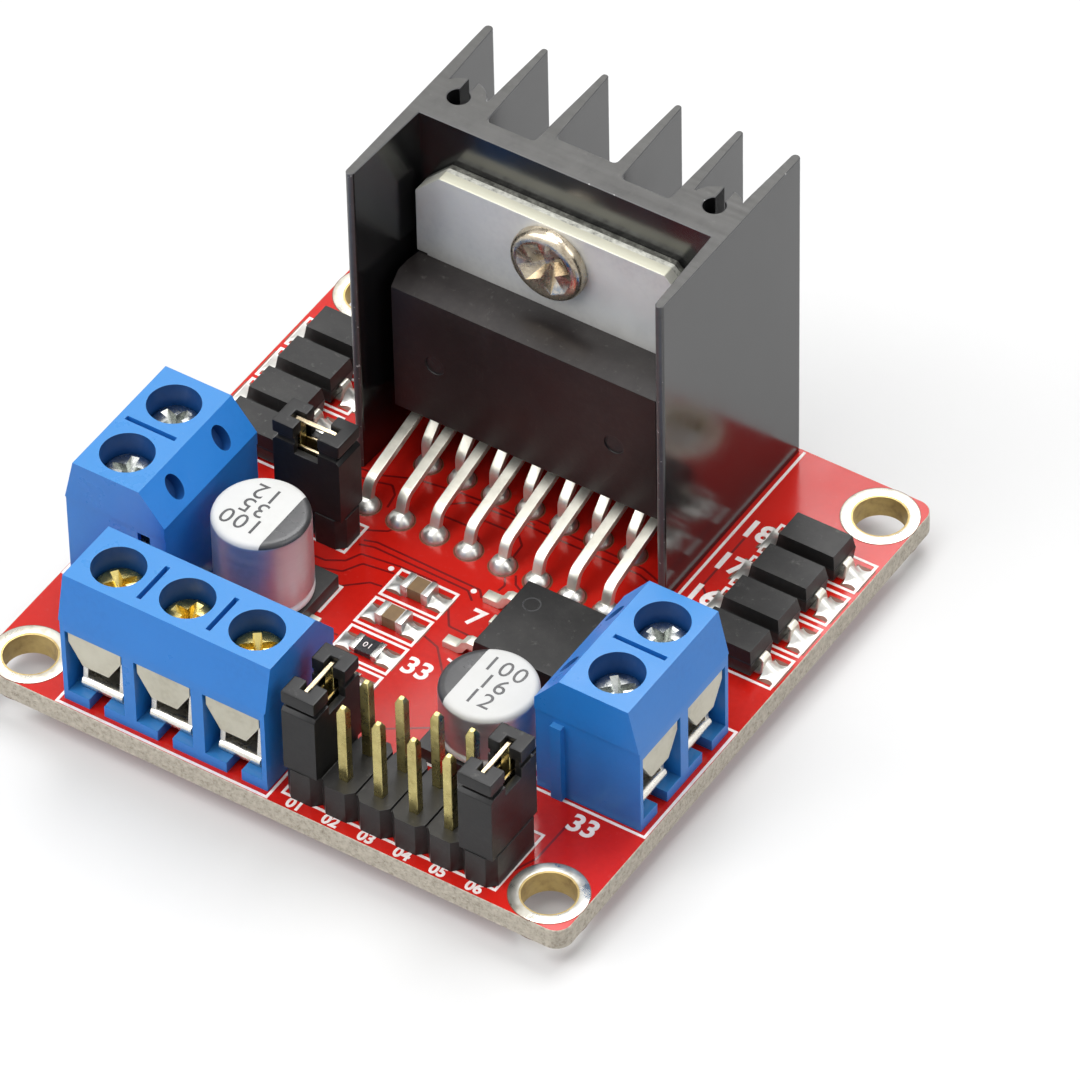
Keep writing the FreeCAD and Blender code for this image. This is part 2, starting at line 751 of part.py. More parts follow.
def clamps(name, terminal):
    for i in range(terminal["poles"]):
        mark = "%s_clamp_%d_" % (name, i + 1)
        roof_low = "contact_level + contact_thickness + cage_gap"
        floor_low = "floor_thickness + cage_rest"
        tall = roof_low + " + cage_roof - (" + floor_low + ")"
        block = beam(mark + "block", ("0", "well_y", floor_low), ("cage_width", "cage_depth", tall))
        window = beam(mark + "window", ("0", "well_y", floor_low + " + cage_floor"),
                      ("cage_width - 2 * cage_wall", "cage_depth + 1",
                       roof_low + " - (" + floor_low + " + cage_floor)"))
        thread = prism(mark + "thread", 8, "(clamp_shank_radius + clamp_shank_gap) / cos(22.5)",
                       "cage_roof + 1", ("0", "well_y", roof_low + " - 0.5"))
        cage = cut(mark + "cage", block, [window, thread])
        node("%s_clamp_cage_%d" % (name, i + 1), seat_terminal(cage, terminal, i))

        head_low = "terminal_height - well_depth + clamp_head_lift"
        head_top = head_low + " + clamp_head_height"
        head = rod(mark + "head", "clamp_head_radius", "clamp_head_height", ("0", "well_y", head_low))
        shank_low = roof_low + " + 0.05"
        shank = rod(mark + "shank", "clamp_shank_radius", head_low + " + 0.1 - (" + shank_low + ")",
                    ("0", "well_y", shank_low))
        reach = "clamp_head_radius * 1.5"
        slots = [
            beam(mark + "slot_a", ("0", "well_y", head_top + " - drive_depth"),
                 (reach, "drive_width", "drive_depth + 1")),
            beam(mark + "slot_b", ("0", "well_y", head_top + " - drive_depth"),
                 ("drive_width", reach, "drive_depth + 1")),
        ]
        screw = cut(mark + "screw", join(mark + "screw_blank", [head, shank]), slots)
        node("%s_clamp_screw_%d" % (name, i + 1), seat_terminal(screw, terminal, i))


HEADERS = {
    "control": {"columns": 6, "rows": 2, "x": "control_first_x", "y": "control_front_y"},
    "supply": {"columns": 2, "rows": 1, "x": "supply_first_x", "y": "supply_y"},
}


def header_pin_places():
    places = []
    for header in HEADERS.values():
        for column in range(header["columns"]):
            for row in range(header["rows"]):
                places.append(("%s + %d * pin_pitch" % (header["x"], column),
                               "%s + %d * pin_pitch" % (header["y"], row)))
    return places


def header(name, shape):
    columns, rows = shape["columns"], shape["rows"]
    tag = name + "_header_"
    low = (shape["x"] + " - pin_pitch / 2", shape["y"] + " - pin_pitch / 2", TOP)
    block = box(tag + "blank", low, ("%d * pin_pitch" % columns, "%d * pin_pitch" % rows, "block_height"))
    tools = []
    for column in range(columns + 1):
        for edge, y in enumerate((shape["y"] + " - pin_pitch / 2",
                                  shape["y"] + " + (%d - 0.5) * pin_pitch" % rows)):
            tools.append(prism("%snotch_%d_%d" % (tag, column, edge), 4, "block_notch", "block_height + 2",
                               (shape["x"] + " + (%d - 0.5) * pin_pitch" % column, y, TOP + " - 1")))
    pins = []
    number_of = 0
    for column in range(columns):
        for row in range(rows):
            x = "%s + %d * pin_pitch" % (shape["x"], column)
            y = "%s + %d * pin_pitch" % (shape["y"], row)
            tools.append(beam("%spin_hole_%d" % (tag, number_of), (x, y, TOP + " - 1"),
                              ("pin_side", "pin_side", "block_height + 2")))
            pins.append(header_pin("%spin_%d" % (tag, number_of), x, y))
            number_of += 1
    node(name + "_header_block", cut(tag + "block", block, tools))
    node(name + "_header_pins", group(tag + "pins", pins))


def header_pin(name, x, y):
    """A square pin with a tapered tip."""
    taper = "pin_side * 0.6"
    tall = "tail_drop + %s + block_height + pin_above_block - %s" % (TOP, taper)
    stem = beam(name + "_stem", (x, y, "-tail_drop"), ("pin_side", "pin_side", tall))
    tip = doc.addObject("Part::Wedge", name + "_tip")
    for prop, text in (
        ("Xmin", "0"), ("Xmax", "pin_side"), ("X2min", "pin_side / 4"), ("X2max", "pin_side * 3 / 4"),
        ("Ymin", "0"), ("Ymax", taper),
        ("Zmin", "0"), ("Zmax", "pin_side"), ("Z2min", "pin_side / 4"), ("Z2max", "pin_side * 3 / 4"),
    ):
        tie(tip, prop, text)
    place = (x + " - pin_side / 2", y + " + pin_side / 2",
             "%s + block_height + pin_above_block - %s" % (TOP, taper))
    move(tip, place, Rotation(Vector(1, 0, 0), 90))
    return join(name, [stem, tip])


CAPS = {
    "left_enable": {"x": "control_first_x", "y": "control_front_y + pin_pitch / 2", "turn": 0},
    "right_enable": {"x": "control_first_x + 5 * pin_pitch", "y": "control_front_y + pin_pitch / 2",
                     "turn": 0},
    "supply": {"x": "supply_first_x + pin_pitch / 2", "y": "supply_y", "turn": 90},
}


def jumper(name, cap):
    """A jumper cap, long along Y before it is turned, with its brass clip."""
    tag = name + "_cap_"
    seat = TOP + " + block_height"
    turn = Rotation(Vector(0, 0, 1), cap["turn"])
    blank = beam(tag + "blank", ("0", "0", "0"), ("cap_width", "cap_length", "cap_height"))
    blank = bevelled(tag + "bevelled", blank, "cap_corner", upright)
    pocket = beam(tag + "pocket", ("0", "0", "-1"),
                  ("cap_width - 2 * cap_wall", "cap_length - 2 * cap_end_wall", "cap_height - cap_roof + 1"))
    notch = beam(tag + "notch", ("0", "0", "cap_height - cap_notch_depth"),
                 ("cap_width + 1", "cap_notch_length", "cap_notch_depth + 1"))
    body = cut(tag + "body", blank, [pocket, notch])
    node(name + "_jumper_cap", move(body, (cap["x"], cap["y"], seat), turn))

    inner = "pin_side / 2 + clip_gap"
    low = "clip_rise"
    roof = "cap_height - cap_notch_depth - 0.25"
    leaves = []
    for sign in ("-", ""):
        x = "-(" + inner + " + clip_thickness)" if sign else inner
        leaves.append(box(tag + "leaf" + ("_a" if sign else "_b"), (x, "-clip_length / 2", low),
                          ("clip_thickness", "clip_length", roof + " - clip_rise")))
    bridge = beam(tag + "bridge", ("0", "0", roof + " - clip_thickness"),
                  ("2 * (" + inner + " + clip_thickness)", "pin_pitch - pin_side - 2 * clip_gap",
                   "clip_thickness"))
    web = beam(tag + "web", ("0", "0", roof + " - clip_thickness"),
               ("clip_thickness", "clip_web_length", "cap_height - 0.3 - (" + roof + " - clip_thickness)"))
    clip = join(tag + "clip", leaves + [bridge, web])
    node(name + "_jumper_clip", move(clip, (cap["x"], cap["y"], seat), turn))


CANS = {
    "supply": {"x": "supply_can_x", "y": "supply_can_y", "tall": "supply_can_height"},
    "logic": {"x": "logic_can_x", "y": "logic_can_y", "tall": "logic_can_height"},
}


def capacitor(name, can):
    tag = name + "_capacitor_"
    place = (can["x"], can["y"], TOP)
    low = "can_base_height"
    neck = low + " + can_neck_level"
    shape = [
        ("0", low), ("can_radius", low), ("can_radius", neck + " - can_neck"),
        ("can_radius - can_neck", neck),
        ("can_radius", neck + " + can_neck"), ("can_radius", can["tall"] + " - can_rim"),
        ("can_radius - can_rim", can["tall"]), ("0", can["tall"]),
    ]
    node(name + "_capacitor_can", turned(tag + "can", outline(tag + "section", "xz", shape), place))
    base = beam(tag + "base_blank", ("0", "0", "0"), ("can_base_side", "can_base_side", "can_base_height"))
    corners = []
    side = "-1" if name == "supply" else "1"
    for i, sign in enumerate(("-", "+")):
        corners.append(prism(tag + "corner_%d" % i, 4, "can_base_corner", "can_base_height + 2",
                             (side + " * can_base_side / 2", "%s can_base_side / 2" % sign, "-1")))
    tabs = []
    channels = []
    for i, sign in enumerate(("-", "")):
        x = "-can_tab_reach" if sign else "can_tab_reach - 2.5"
        size = ("2.5", "can_tab_width", "can_tab_thickness")
        tabs.append(move(box(tag + "tab_%d" % i, ("0", "0", "0"), size),
                         (can["x"] + (" - can_tab_reach" if sign else " + can_tab_reach - 2.5"),
                          can["y"] + " - can_tab_width / 2", TOP)))
        channels.append(box(tag + "channel_%d" % i, (x, "-can_tab_width / 2", "0"), size))
    node(name + "_capacitor_base", move(cut(tag + "base", base, corners + channels), place))
    node(name + "_capacitor_tabs", group(tag + "tabs", tabs))


def regulator():
    middle = "regulator_y"
    body_low = ("regulator_x", "regulator_y - regulator_width / 2", TOP + " + 0.08")
    core = box("regulator_core", body_low,
               ("regulator_length", "regulator_width", "regulator_lead_level - 0.08"))
    crown = wedge("regulator_crown",
                  ("regulator_x", "regulator_y - regulator_width / 2", TOP + " + regulator_lead_level"),
                  ("regulator_length", "regulator_height - regulator_lead_level", "regulator_width"),
                  ("0.12", "0.12"), Rotation(Vector(1, 0, 0), 90))
    tie(crown, "Placement.Base.y", "regulator_y + regulator_width / 2")
    plate_low = ("regulator_x + regulator_tab_start", "regulator_y - regulator_tab_width / 2", TOP)
    plate_size = ("regulator_length - regulator_tab_start + regulator_tab_reach", "regulator_tab_width",
                  "regulator_plate")
    seat = box("regulator_seat", plate_low, plate_size)
    node("regulator_body", cut("regulator_moulding", join("regulator_blank", [core, crown]), [seat]))
    node("regulator_tab", box("regulator_plate_solid", plate_low, plate_size))
    level = TOP + " + regulator_lead_level"
    path = [
        ("regulator_x", level), ("regulator_x - 0.85", level),
        ("regulator_x - 1.35", TOP + " + lead_thickness / 2"),
        ("regulator_x - regulator_lead_reach", TOP + " + lead_thickness / 2"),
    ]
    leads = []
    for i, sign in enumerate(("-", "+")):
        y = "%s %s regulator_lead_pitch" % (middle, sign)
        leads.append(bent_strip("regulator_lead_%d" % i, "xz", path, "0.3", "regulator_lead_width",
                                "lead_thickness", ("0", y, "0")))
    leads.append(box("regulator_cut_lead",
                     ("regulator_x - regulator_stub", middle + " - regulator_lead_width / 2",
                      level + " - lead_thickness / 2"),
                     ("regulator_stub", "regulator_lead_width", "lead_thickness")))
    node("regulator_leads", group("regulator_lead_set", leads))


def diode_places(sign):
    return [(sign + "diode_x", "diode_first_y + %d * diode_pitch" % i) for i in range(4)]


def diodes(name, sign):
    bodies = []
    leads = []
    middle = TOP + " + diode_height / 2"
    for i, (x, y) in enumerate(diode_places(sign)):
        mark = "%s_diode_%d_" % (name, i)
        corner = ("%s - diode_length / 2" % x, "%s + diode_width / 2" % y, middle)
        upper = wedge(mark + "upper", corner, ("diode_length", "diode_height / 2", "diode_width"),
                      ("diode_draft", "diode_draft"), Rotation(Vector(1, 0, 0), 90))
        under = wedge(mark + "under", ("%s - diode_length / 2" % x, "%s - diode_width / 2" % y, middle),
                      ("diode_length", "diode_height / 2 - diode_clearance", "diode_width"),
                      ("diode_draft", "diode_draft"), Rotation(Vector(1, 0, 0), -90))
        bodies.append(join(mark + "body", [upper, under]))
        for end, way in (("a", "-"), ("b", "+")):
            edge = "%s %s diode_length / 2" % (x, way)
            far = "%s %s diode_lead_out" % (edge, way)
            foot = "%s %s (diode_length / 2 - diode_lead_foot)" % (x, way)
            low = TOP + " + diode_lead_thickness / 2"
            path = [(edge, middle), (far, middle), (far, low), (foot, low)]
            leads.append(bent_strip(mark + "lead_" + end, "xz", path, "0.14", "diode_lead_width",
                                    "diode_lead_thickness", ("0", y, "0")))
    node(name + "_diode_bodies", group(name + "_diodes", bodies))
    node(name + "_diode_leads", group(name + "_diode_lead_set", leads))


def chip_part(mark, row, height):
    """A small block with wrapped metal ends that stand a little proud."""
    y = "chip_part_first_y - %d * chip_part_pitch" % row
    core = beam(mark + "_core", ("chip_part_x", y, TOP + " + end_cap_proud"),
                ("chip_part_length", "chip_part_width", height + " - 2 * end_cap_proud"))
    ends = []
    for end, way in (("a", "-"), ("b", "+")):
        x = "chip_part_x %s (chip_part_length - end_cap_length) / 2" % way
        ends.append(beam(mark + "_end_" + end, (x, y, TOP),
                         ("end_cap_length", "chip_part_width + 2 * end_cap_proud", height)))
    return join(mark + "_piece", [core] + ends)


def chip_parts():
    node("ceramic_capacitors", group("ceramics",
                                     [chip_part("ceramic_%d" % i, i, "ceramic_height") for i in range(2)]))
    node("chip_resistor", chip_part("resistor", 2, "resistor_height"))
    base = chip_part("lamp", 3, "lamp_base_height")
    y = "chip_part_first_y - 3 * chip_part_pitch"
    lens = beam("lamp_lens", ("chip_part_x", y, TOP + " + lamp_base_height - end_cap_proud"),
                ("lamp_lens_length", "chip_part_width", "lamp_lens_height"))
    node("indicator_lamp", join("lamp_whole", [base, lens]))


def solder():
    fillets = []
    for name, sign in (("left", "-"), ("right", "")):
        for i, (x, y) in enumerate(diode_places(sign)):
            reach = "diode_length / 2 + diode_lead_out + diode_lead_thickness / 2"
            fillets += fillet_pair("%s_pad_%d" % (name, i), x, y, reach, "diode_pad_width", "diode_fillet")
    for i in range(4):
        y = "chip_part_first_y - %d * chip_part_pitch" % i
        height = "lamp_base_height" if i > 1 else "chip_fillet"
        fillets += fillet_pair("chip_pad_%d" % i, "chip_part_x", y, "chip_part_length / 2",
                               "chip_pad_width", height)
    node("surface_solder", group("pad_solder", fillets))

    beads = []
    tools = []
    for i, (x, y) in enumerate(lead_places()):
        beads.append(frustum("bead_%d" % i, "bead_reach", "bead_reach * 0.75", "bead_height", (x, y, TOP)))
        tools.append(beam("bead_slot_%d" % i, (x, y, TOP + " - 1"),
                          ("lead_width", "lead_thickness", "bead_height + 2")))
    node("lead_solder_beads", cut("beads_cut", group("beads", beads), [group("bead_slots", tools)]))

    cones = []
    tools = []
    for i, (x, y, size, pad) in enumerate(tail_places()):
        cones.append(frustum("joint_%d" % i, pad + " * 0.74", pad, "solder_drop", (x, y, "-solder_drop")))
        tools.append(beam("joint_slot_%d" % i, (x, y, "-solder_drop - 1"), size + ("solder_drop + 2",)))
    for i, sign in enumerate(("- boss_x", "+ boss_x")):
        x = "stack_x " + sign
        y = "sink_face_y + boss_y"
        cones.append(frustum("sink_joint_%d" % i, "sink_solder_reach * 0.84", "sink_solder_reach",
                             "solder_drop",
                             (x, y, "-solder_drop")))
        tools.append(rod("sink_joint_slot_%d" % i, "boss_bore - sink_pin_gap", "solder_drop + 2",
                         (x, y, "-solder_drop - 1")))
    node("underside_solder", cut("joints_cut", group("joints", cones), [group("joint_slots", tools)]))


def fillet_pair(mark, x, y, reach, width, height):
    """Solder sloping from a part's two ends down to its pads."""
    pair = []
    for end, way, turn in (("a", "-", 180), ("b", "+", 0)):
        shape = doc.addObject("Part::Wedge", "%s_%s" % (mark, end))
        for prop, text in (
            ("Xmin", "0"), ("Xmax", width), ("X2min", "0"), ("X2max", width),
            ("Ymin", "0"), ("Ymax", "pad_length"),
            ("Zmin", "0"), ("Zmax", height), ("Z2min", "0"), ("Z2max", "pad_edge"),
        ):
            tie(shape, prop, text)
        low = "%s %s %s / 2" % (y, "-" if end == "a" else "+", width)
        place = ("%s %s (%s)" % (x, way, reach), low, TOP)
        pair.append(move(shape, place, Rotation(Vector(0, 0, 1), 90 if end == "a" else -90)))
    return pair


def tail_places():
    """Every tail under the board with the size of its section and the reach of its solder."""
    leads = [(x, y, ("lead_width", "lead_thickness"), "solder_reach") for x, y in lead_places()]
    pins = [(x, y, ("pin_side", "pin_side"), "solder_reach") for x, y in header_pin_places()]
    tails = []
    for i, (x, y) in enumerate(terminal_pin_places()):
        flat = ("contact_tail", "contact_thickness")
        tails.append((x, y, flat if i < TERMINALS["power"]["poles"] else flat[::-1], "terminal_solder_reach"))
    return leads + pins + tails


def pin_places():
    places = []
    for x, y, (across, deep), pad in tail_places():
        corner = "sqrt(%s * %s + %s * %s) / 2" % (across, across, deep, deep)
        places.append((x, y, "(%s + pin_hole_gap) / cos(30)" % corner))
    for sign in ("-", "+"):
        places.append(("stack_x %s boss_x" % sign, "sink_face_y + boss_y",
                       "(boss_bore + pin_hole_gap) / cos(30)"))
    return places


board()
heatsink()
chip()
chip_screw()
for terminal_name, terminal_shape in TERMINALS.items():
    housing(terminal_name, terminal_shape)
    contacts(terminal_name, terminal_shape)
    clamps(terminal_name, terminal_shape)
for header_name, header_shape in HEADERS.items():
    header(header_name, header_shape)
for cap_name, cap_shape in CAPS.items():
    jumper(cap_name, cap_shape)
for can_name, can_shape in CANS.items():
    capacitor(can_name, can_shape)
regulator()
for diode_name, diode_sign in (("left", "-"), ("right", "")):
    diodes(diode_name, diode_sign)
chip_parts()
solder()
doc.recompute()

for piece in doc.Objects:
    if "Invalid" in piece.State or "Error" in piece.State:
        raise RuntimeError("%s did not build: %s" % (piece.Label, piece.State))
for piece in nodes:
    if piece.Shape.isNull() or not piece.Shape.isValid() or not piece.Shape.Solids:
        raise RuntimeError("%s has no valid solid" % piece.Label)

os.makedirs("parts", exist_ok=True)
for piece in nodes:
    piece.Shape.exportStep("parts/%s.step" % piece.Label)
    print("%-28s %3d solids %9.3f mm3" % (piece.Label, len(piece.Shape.Solids), piece.Shape.Volume))
print(len(nodes), "nodes")
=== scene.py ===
import bpy
import bmesh
import json
import math
import random
from mathutils import Matrix, Vector


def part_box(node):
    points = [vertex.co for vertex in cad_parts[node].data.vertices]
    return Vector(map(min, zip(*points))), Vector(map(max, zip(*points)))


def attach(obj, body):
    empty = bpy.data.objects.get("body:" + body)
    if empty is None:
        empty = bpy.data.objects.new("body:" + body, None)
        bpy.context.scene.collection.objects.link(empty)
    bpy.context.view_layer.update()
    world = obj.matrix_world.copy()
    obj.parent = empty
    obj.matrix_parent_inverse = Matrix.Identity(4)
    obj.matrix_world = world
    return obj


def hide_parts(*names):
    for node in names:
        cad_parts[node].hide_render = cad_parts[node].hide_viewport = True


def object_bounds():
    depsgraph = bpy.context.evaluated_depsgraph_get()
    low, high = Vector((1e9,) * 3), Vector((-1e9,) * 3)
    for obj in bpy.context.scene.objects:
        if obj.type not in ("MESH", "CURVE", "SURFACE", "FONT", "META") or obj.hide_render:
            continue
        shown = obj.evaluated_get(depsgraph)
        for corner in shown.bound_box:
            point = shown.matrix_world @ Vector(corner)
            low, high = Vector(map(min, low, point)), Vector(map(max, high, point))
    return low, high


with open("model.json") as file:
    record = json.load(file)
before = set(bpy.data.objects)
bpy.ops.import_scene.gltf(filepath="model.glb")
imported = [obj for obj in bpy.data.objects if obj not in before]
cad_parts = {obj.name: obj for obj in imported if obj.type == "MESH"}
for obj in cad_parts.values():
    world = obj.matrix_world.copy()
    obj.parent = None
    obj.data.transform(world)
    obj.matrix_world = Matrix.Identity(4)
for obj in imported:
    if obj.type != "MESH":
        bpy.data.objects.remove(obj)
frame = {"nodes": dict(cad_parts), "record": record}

from types import SimpleNamespace

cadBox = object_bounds()
random.seed(11)
boardTop = 1.6   # sizes here are millimetres; a piece is brought to metres as it is hung on its body
nodeBody = {node: body for body, nodes in frame["record"]["behaviour"]["bodies"].items() for node in nodes}
groups = {}
print("stage: frame loaded,", len(frame["nodes"]), "nodes")


# a number or colour is set on the socket, and another node's output is linked to it
def feed(tree, socket, source):
    if isinstance(source, bpy.types.NodeSocket):
        tree.links.new(source, socket)
    else:
        socket.default_value = (*source, 1.0) if socket.type == "RGBA" else source


def newGroup(name, inputs, outputs):
    group = groups[name] = bpy.data.node_groups.new(name, "ShaderNodeTree")
    for label, value in inputs.items():
        kind = "NodeSocketColor" if isinstance(value, tuple) else "NodeSocketFloat"
        group.interface.new_socket(label, in_out="INPUT", socket_type=kind).default_value = value
    for label in outputs:
        kind = "NodeSocketColor" if label == "Color" else "NodeSocketFloat"
        group.interface.new_socket(label, in_out="OUTPUT", socket_type=kind)
    return group, group.nodes.new("NodeGroupInput").outputs, group.nodes.new("NodeGroupOutput").inputs


def add(tree, kind, **settings):
    node = tree.nodes.new("ShaderNode" + kind)
    for key, value in settings.items():
        setattr(node, key, value)
    return node


# noise in object space, so that it keeps its place on the piece
def noiseIn(tree, scale, detail=4.0, roughness=0.55, stretch=(1.0, 1.0, 1.0)):
    turn = add(tree, "Mapping")
    feed(tree, turn.inputs["Vector"], add(tree, "TexCoord").outputs["Object"])
    feed(tree, turn.inputs["Scale"], stretch)
    noise = add(tree, "TexNoise")
    labels = ("Vector", "Scale", "Detail", "Roughness")
    for label, source in zip(labels, (turn.outputs[0], scale, detail, roughness)):
        feed(tree, noise.inputs[label], source)
    return noise.outputs["Fac"]


def spread(tree, value, low, high, outLow=0.0, outHigh=1.0):
    ramp = add(tree, "MapRange")
    labels = ("Value", "From Min", "From Max", "To Min", "To Max")
    for label, source in zip(labels, (value, low, high, outLow, outHigh)):
        feed(tree, ramp.inputs[label], source)
    return ramp.outputs["Result"]


def combine(tree, a, b, operation="MULTIPLY"):
    node = add(tree, "Math", operation=operation, use_clamp=operation in ("MULTIPLY", "ADD"))
    feed(tree, node.inputs[0], a)
    feed(tree, node.inputs[1], b)
    return node.outputs[0]


# two colours, or two plain values, mixed by a mask
def mix(tree, mask, a, b, kind="RGBA"):
    node = add(tree, "Mix", data_type=kind)
    first, result = (6, 2) if kind == "RGBA" else (2, 0)
    for number, source in ((0, mask), (first, a), (first + 1, b)):
        feed(tree, node.inputs[number], source)
    return node.outputs[result]


def axesOf(tree, source):
    axes = add(tree, "SeparateXYZ")
    feed(tree, axes.inputs[0], source)
    return axes.outputs


def upMask(tree, low, high):
    return spread(tree, axesOf(tree, add(tree, "NewGeometry").outputs["Normal"])["Z"], low, high)


# two shades of one colour that drift over the surface, with fine speckle
def cloudyTint():
    group, start, end = newGroup("cloudyTint", {
        "Tint": (0.5, 0.5, 0.5, 1), "Shade": (0.3, 0.3, 0.3, 1), "Cloud Scale": 120.0,
        "Speckle Scale": 2500.0, "Amount": 0.5}, ["Color"])
    cloud = spread(group, noiseIn(group, start["Cloud Scale"]), 0.35, 0.68)
    speckle = spread(group, noiseIn(group, start["Speckle Scale"], 2.0), 0.4, 0.7, 0.35, 1.0)
    mask = combine(group, combine(group, cloud, speckle), start["Amount"])
    feed(group, end["Color"], mix(group, mask, start["Tint"], start["Shade"]))


# roughness that wanders between two values, as handling leaves it
def patchyGloss():
    group, start, end = newGroup("patchyGloss", {"Low": 0.2, "High": 0.5, "Scale": 300.0}, ["Value"])
    mask = spread(group, noiseIn(group, start["Scale"], 6.0, 0.6), 0.3, 0.7)
    feed(group, end["Value"], mix(group, mask, start["Low"], start["High"], "FLOAT"))


# height of moulded grain, or of metal that was pressed or plated
def fineRelief():
    group, start, end = newGroup("fineRelief", {"Scale": 4000.0}, ["Height"])
    feed(group, end["Height"], noiseIn(group, start["Scale"], 3.0))


# pale specks and haze on faces that look up
def settledDust():
    inputs = {"Scale": 1800.0, "Haze Scale": 260.0, "Amount": 0.3}
    group, start, end = newGroup("settledDust", inputs, ["Mask"])
    specks = spread(group, noiseIn(group, start["Scale"], 5.0, 0.7), 0.6, 0.74)
    haze = spread(group, noiseIn(group, start["Haze Scale"], 3.0), 0.45, 0.75, 0.0, 0.3)
    mask = combine(group, upMask(group, 0.3, 0.95), combine(group, specks, haze, "ADD"))
    feed(group, end["Mask"], combine(group, mask, start["Amount"]))


# fine lines left by drawing, sawing or laminating, long in one direction
def drawnLines(name, stretch):
    group, start, end = newGroup(name, {"Scale": 1.0, "Low": 0.25, "High": 0.45}, ["Height", "Value"])
    lines = noiseIn(group, start["Scale"], 5.0, 0.65, stretch)
    mask = spread(group, lines, 0.35, 0.65)
    feed(group, end["Value"], mix(group, mask, start["Low"], start["High"], "FLOAT"))
    feed(group, end["Height"], lines)


# small spots where the finish is knocked off; on the heatsink they are also painted glints
def strayNicksAndGlints():
    group, start, end = newGroup("strayNicksAndGlints", {"Scale": 1500.0, "Amount": 0.4}, ["Mask"])
    edge = combine(group, 0.78, combine(group, start["Amount"], 0.3), "SUBTRACT")
    feed(group, end["Mask"], combine(group, noiseIn(group, start["Scale"], 6.0, 0.7), edge, "GREATER_THAN"))


# long thin scratches: the middle level of one stretched noise, kept to patches by another
def hairScratches():
    group, start, end = newGroup("hairScratches", {"Scale": 1.0, "Amount": 0.5}, ["Mask"])
    fine = noiseIn(group, start["Scale"], 2.0, 0.5, (4200.0, 4200.0, 260.0))
    patch = noiseIn(group, start["Scale"], 2.0, 0.5, (420.0, 420.0, 420.0))
    off = combine(group, combine(group, fine, 0.5, "SUBTRACT"), 0.0, "ABSOLUTE")
    mask = combine(group, spread(group, off, 0.0, 0.012, 1.0, 0.0), spread(group, patch, 0.52, 0.66))
    feed(group, end["Mask"], combine(group, mask, start["Amount"]))


cloudyTint()
patchyGloss()
fineRelief()
settledDust()
drawnLines("linesFlat", (110.0, 110.0, 3600.0))
drawnLines("linesAcross", (80.0, 2400.0, 80.0))
strayNicksAndGlints()
hairScratches()


def place(tree, name, **values):
    node = add(tree, "Group", node_tree=groups[name])
    for label, value in values.items():
        spaced = "".join(" " + c if c.isupper() else c for c in label)
        feed(tree, node.inputs[spaced.title()], value)
    return node.outputs


# tinned ends of a chip part, told apart by how far they lie from its middle
def endMask(tree, middle, reach):
    across = axesOf(tree, add(tree, "TexCoord").outputs["Object"])["X"]
    off = combine(tree, combine(tree, across, middle * 0.001, "SUBTRACT"), 0.0, "ABSOLUTE")
    return combine(tree, off, reach * 0.001, "GREATER_THAN")


usual = {
    "dust": (0.5, 0.48, 0.45), "mark": (0.45, 0.45, 0.45), "tinned": (0.6, 0.59, 0.56),
    "plain": (("Metallic", "metal", 0.0), ("IOR", "ior", 1.5), ("Coat Weight", "coat", 0.0),
              ("Coat Roughness", "coatRough", 0.1), ("Subsurface Weight", "soft", 0.0)),
}


# a material: tint and shade drift at the scale cloud; rough is (low, high, scale), grain (scale, depth in mm)
def finish(name, tint, shade, cloud, rough=None, grain=None, amount=0.6, speckle=2500, **more):
    material = bpy.data.materials.new(name)
    material.use_nodes = True
    tree = material.node_tree
    shader = tree.nodes["Principled BSDF"].inputs
    for label, key, value in usual["plain"]:
        shader[label].default_value = more.get(key, value)
    shader["Subsurface Scale"].default_value = 0.0004
    colour = place(tree, "cloudyTint", tint=tint, shade=shade, cloudScale=cloud, speckleScale=speckle,
                   amount=amount)["Color"]
    # faces that look up take another colour: on the terminal moulding this is painted light, its top drawn
    # paler than its sides; on the chip tab it gives a cream top
    if "rimTint" in more:   # another colour where the face looks up
        colour = mix(tree, upMask(tree, 0.6, 0.8), colour, more["rimTint"])
    if "ends" in more:
        mask = endMask(tree, *more["ends"])
        colour = mix(tree, mask, colour, usual["tinned"])
        feed(tree, shader["Metallic"], mask)
    wear = (("nicks", "strayNicksAndGlints", "nickTint"), ("scratches", "hairScratches", "scratchTint"))
    for key, group, label in wear:
        if key in more:
            mask = place(tree, group, scale=more[key][0], amount=more[key][1])["Mask"]
            colour = mix(tree, mask, colour, more.get(label, usual["mark"]))
    if "dust" in more:
        colour = mix(tree, place(tree, "settledDust", amount=more["dust"])["Mask"], colour, usual["dust"])
    feed(tree, shader["Base Color"], colour)
    if rough:
        gloss = place(tree, "patchyGloss", low=rough[0], high=rough[1], scale=rough[2])
        heights = []
    else:
        group, low, high, depth = more["lines"]
        gloss = place(tree, group, low=low, high=high)
        heights = [(gloss["Height"], depth)]
    feed(tree, shader["Roughness"], gloss["Value"])
    if grain:
        heights.append((place(tree, "fineRelief", scale=grain[0])["Height"], grain[1]))
    normal = None
    for height, depth in heights:
        bump = add(tree, "Bump")
        feed(tree, bump.inputs["Distance"], depth * 0.001)
        feed(tree, bump.inputs["Height"], height)
        if normal:
            feed(tree, bump.inputs["Normal"], normal)
        normal = bump.outputs["Normal"]
    if normal:
        feed(tree, shader["Normal"], normal)
    return material


# skins rings of points, one to the next; a ring of one point draws the skin together
def addSkin(mesh, rings, caps=True, loop=False):
    rings = [[mesh.verts.new(spot) for spot in ring] for ring in rings]
    for lower, upper in list(zip(rings, rings[1:])) + [(rings[-1], rings[0])] * loop:
        count = max(len(lower), len(upper))
        for i in range(count):
            j = (i + 1) % count
            corners = [ring[k % len(ring)] for ring, k in ((lower, i), (lower, j), (upper, j), (upper, i))]
            corners = list(dict.fromkeys(corners))
            if len(corners) > 2:
                mesh.faces.new(corners)
    if caps:
        mesh.faces.new(rings[0][::-1])
        mesh.faces.new(rings[-1])


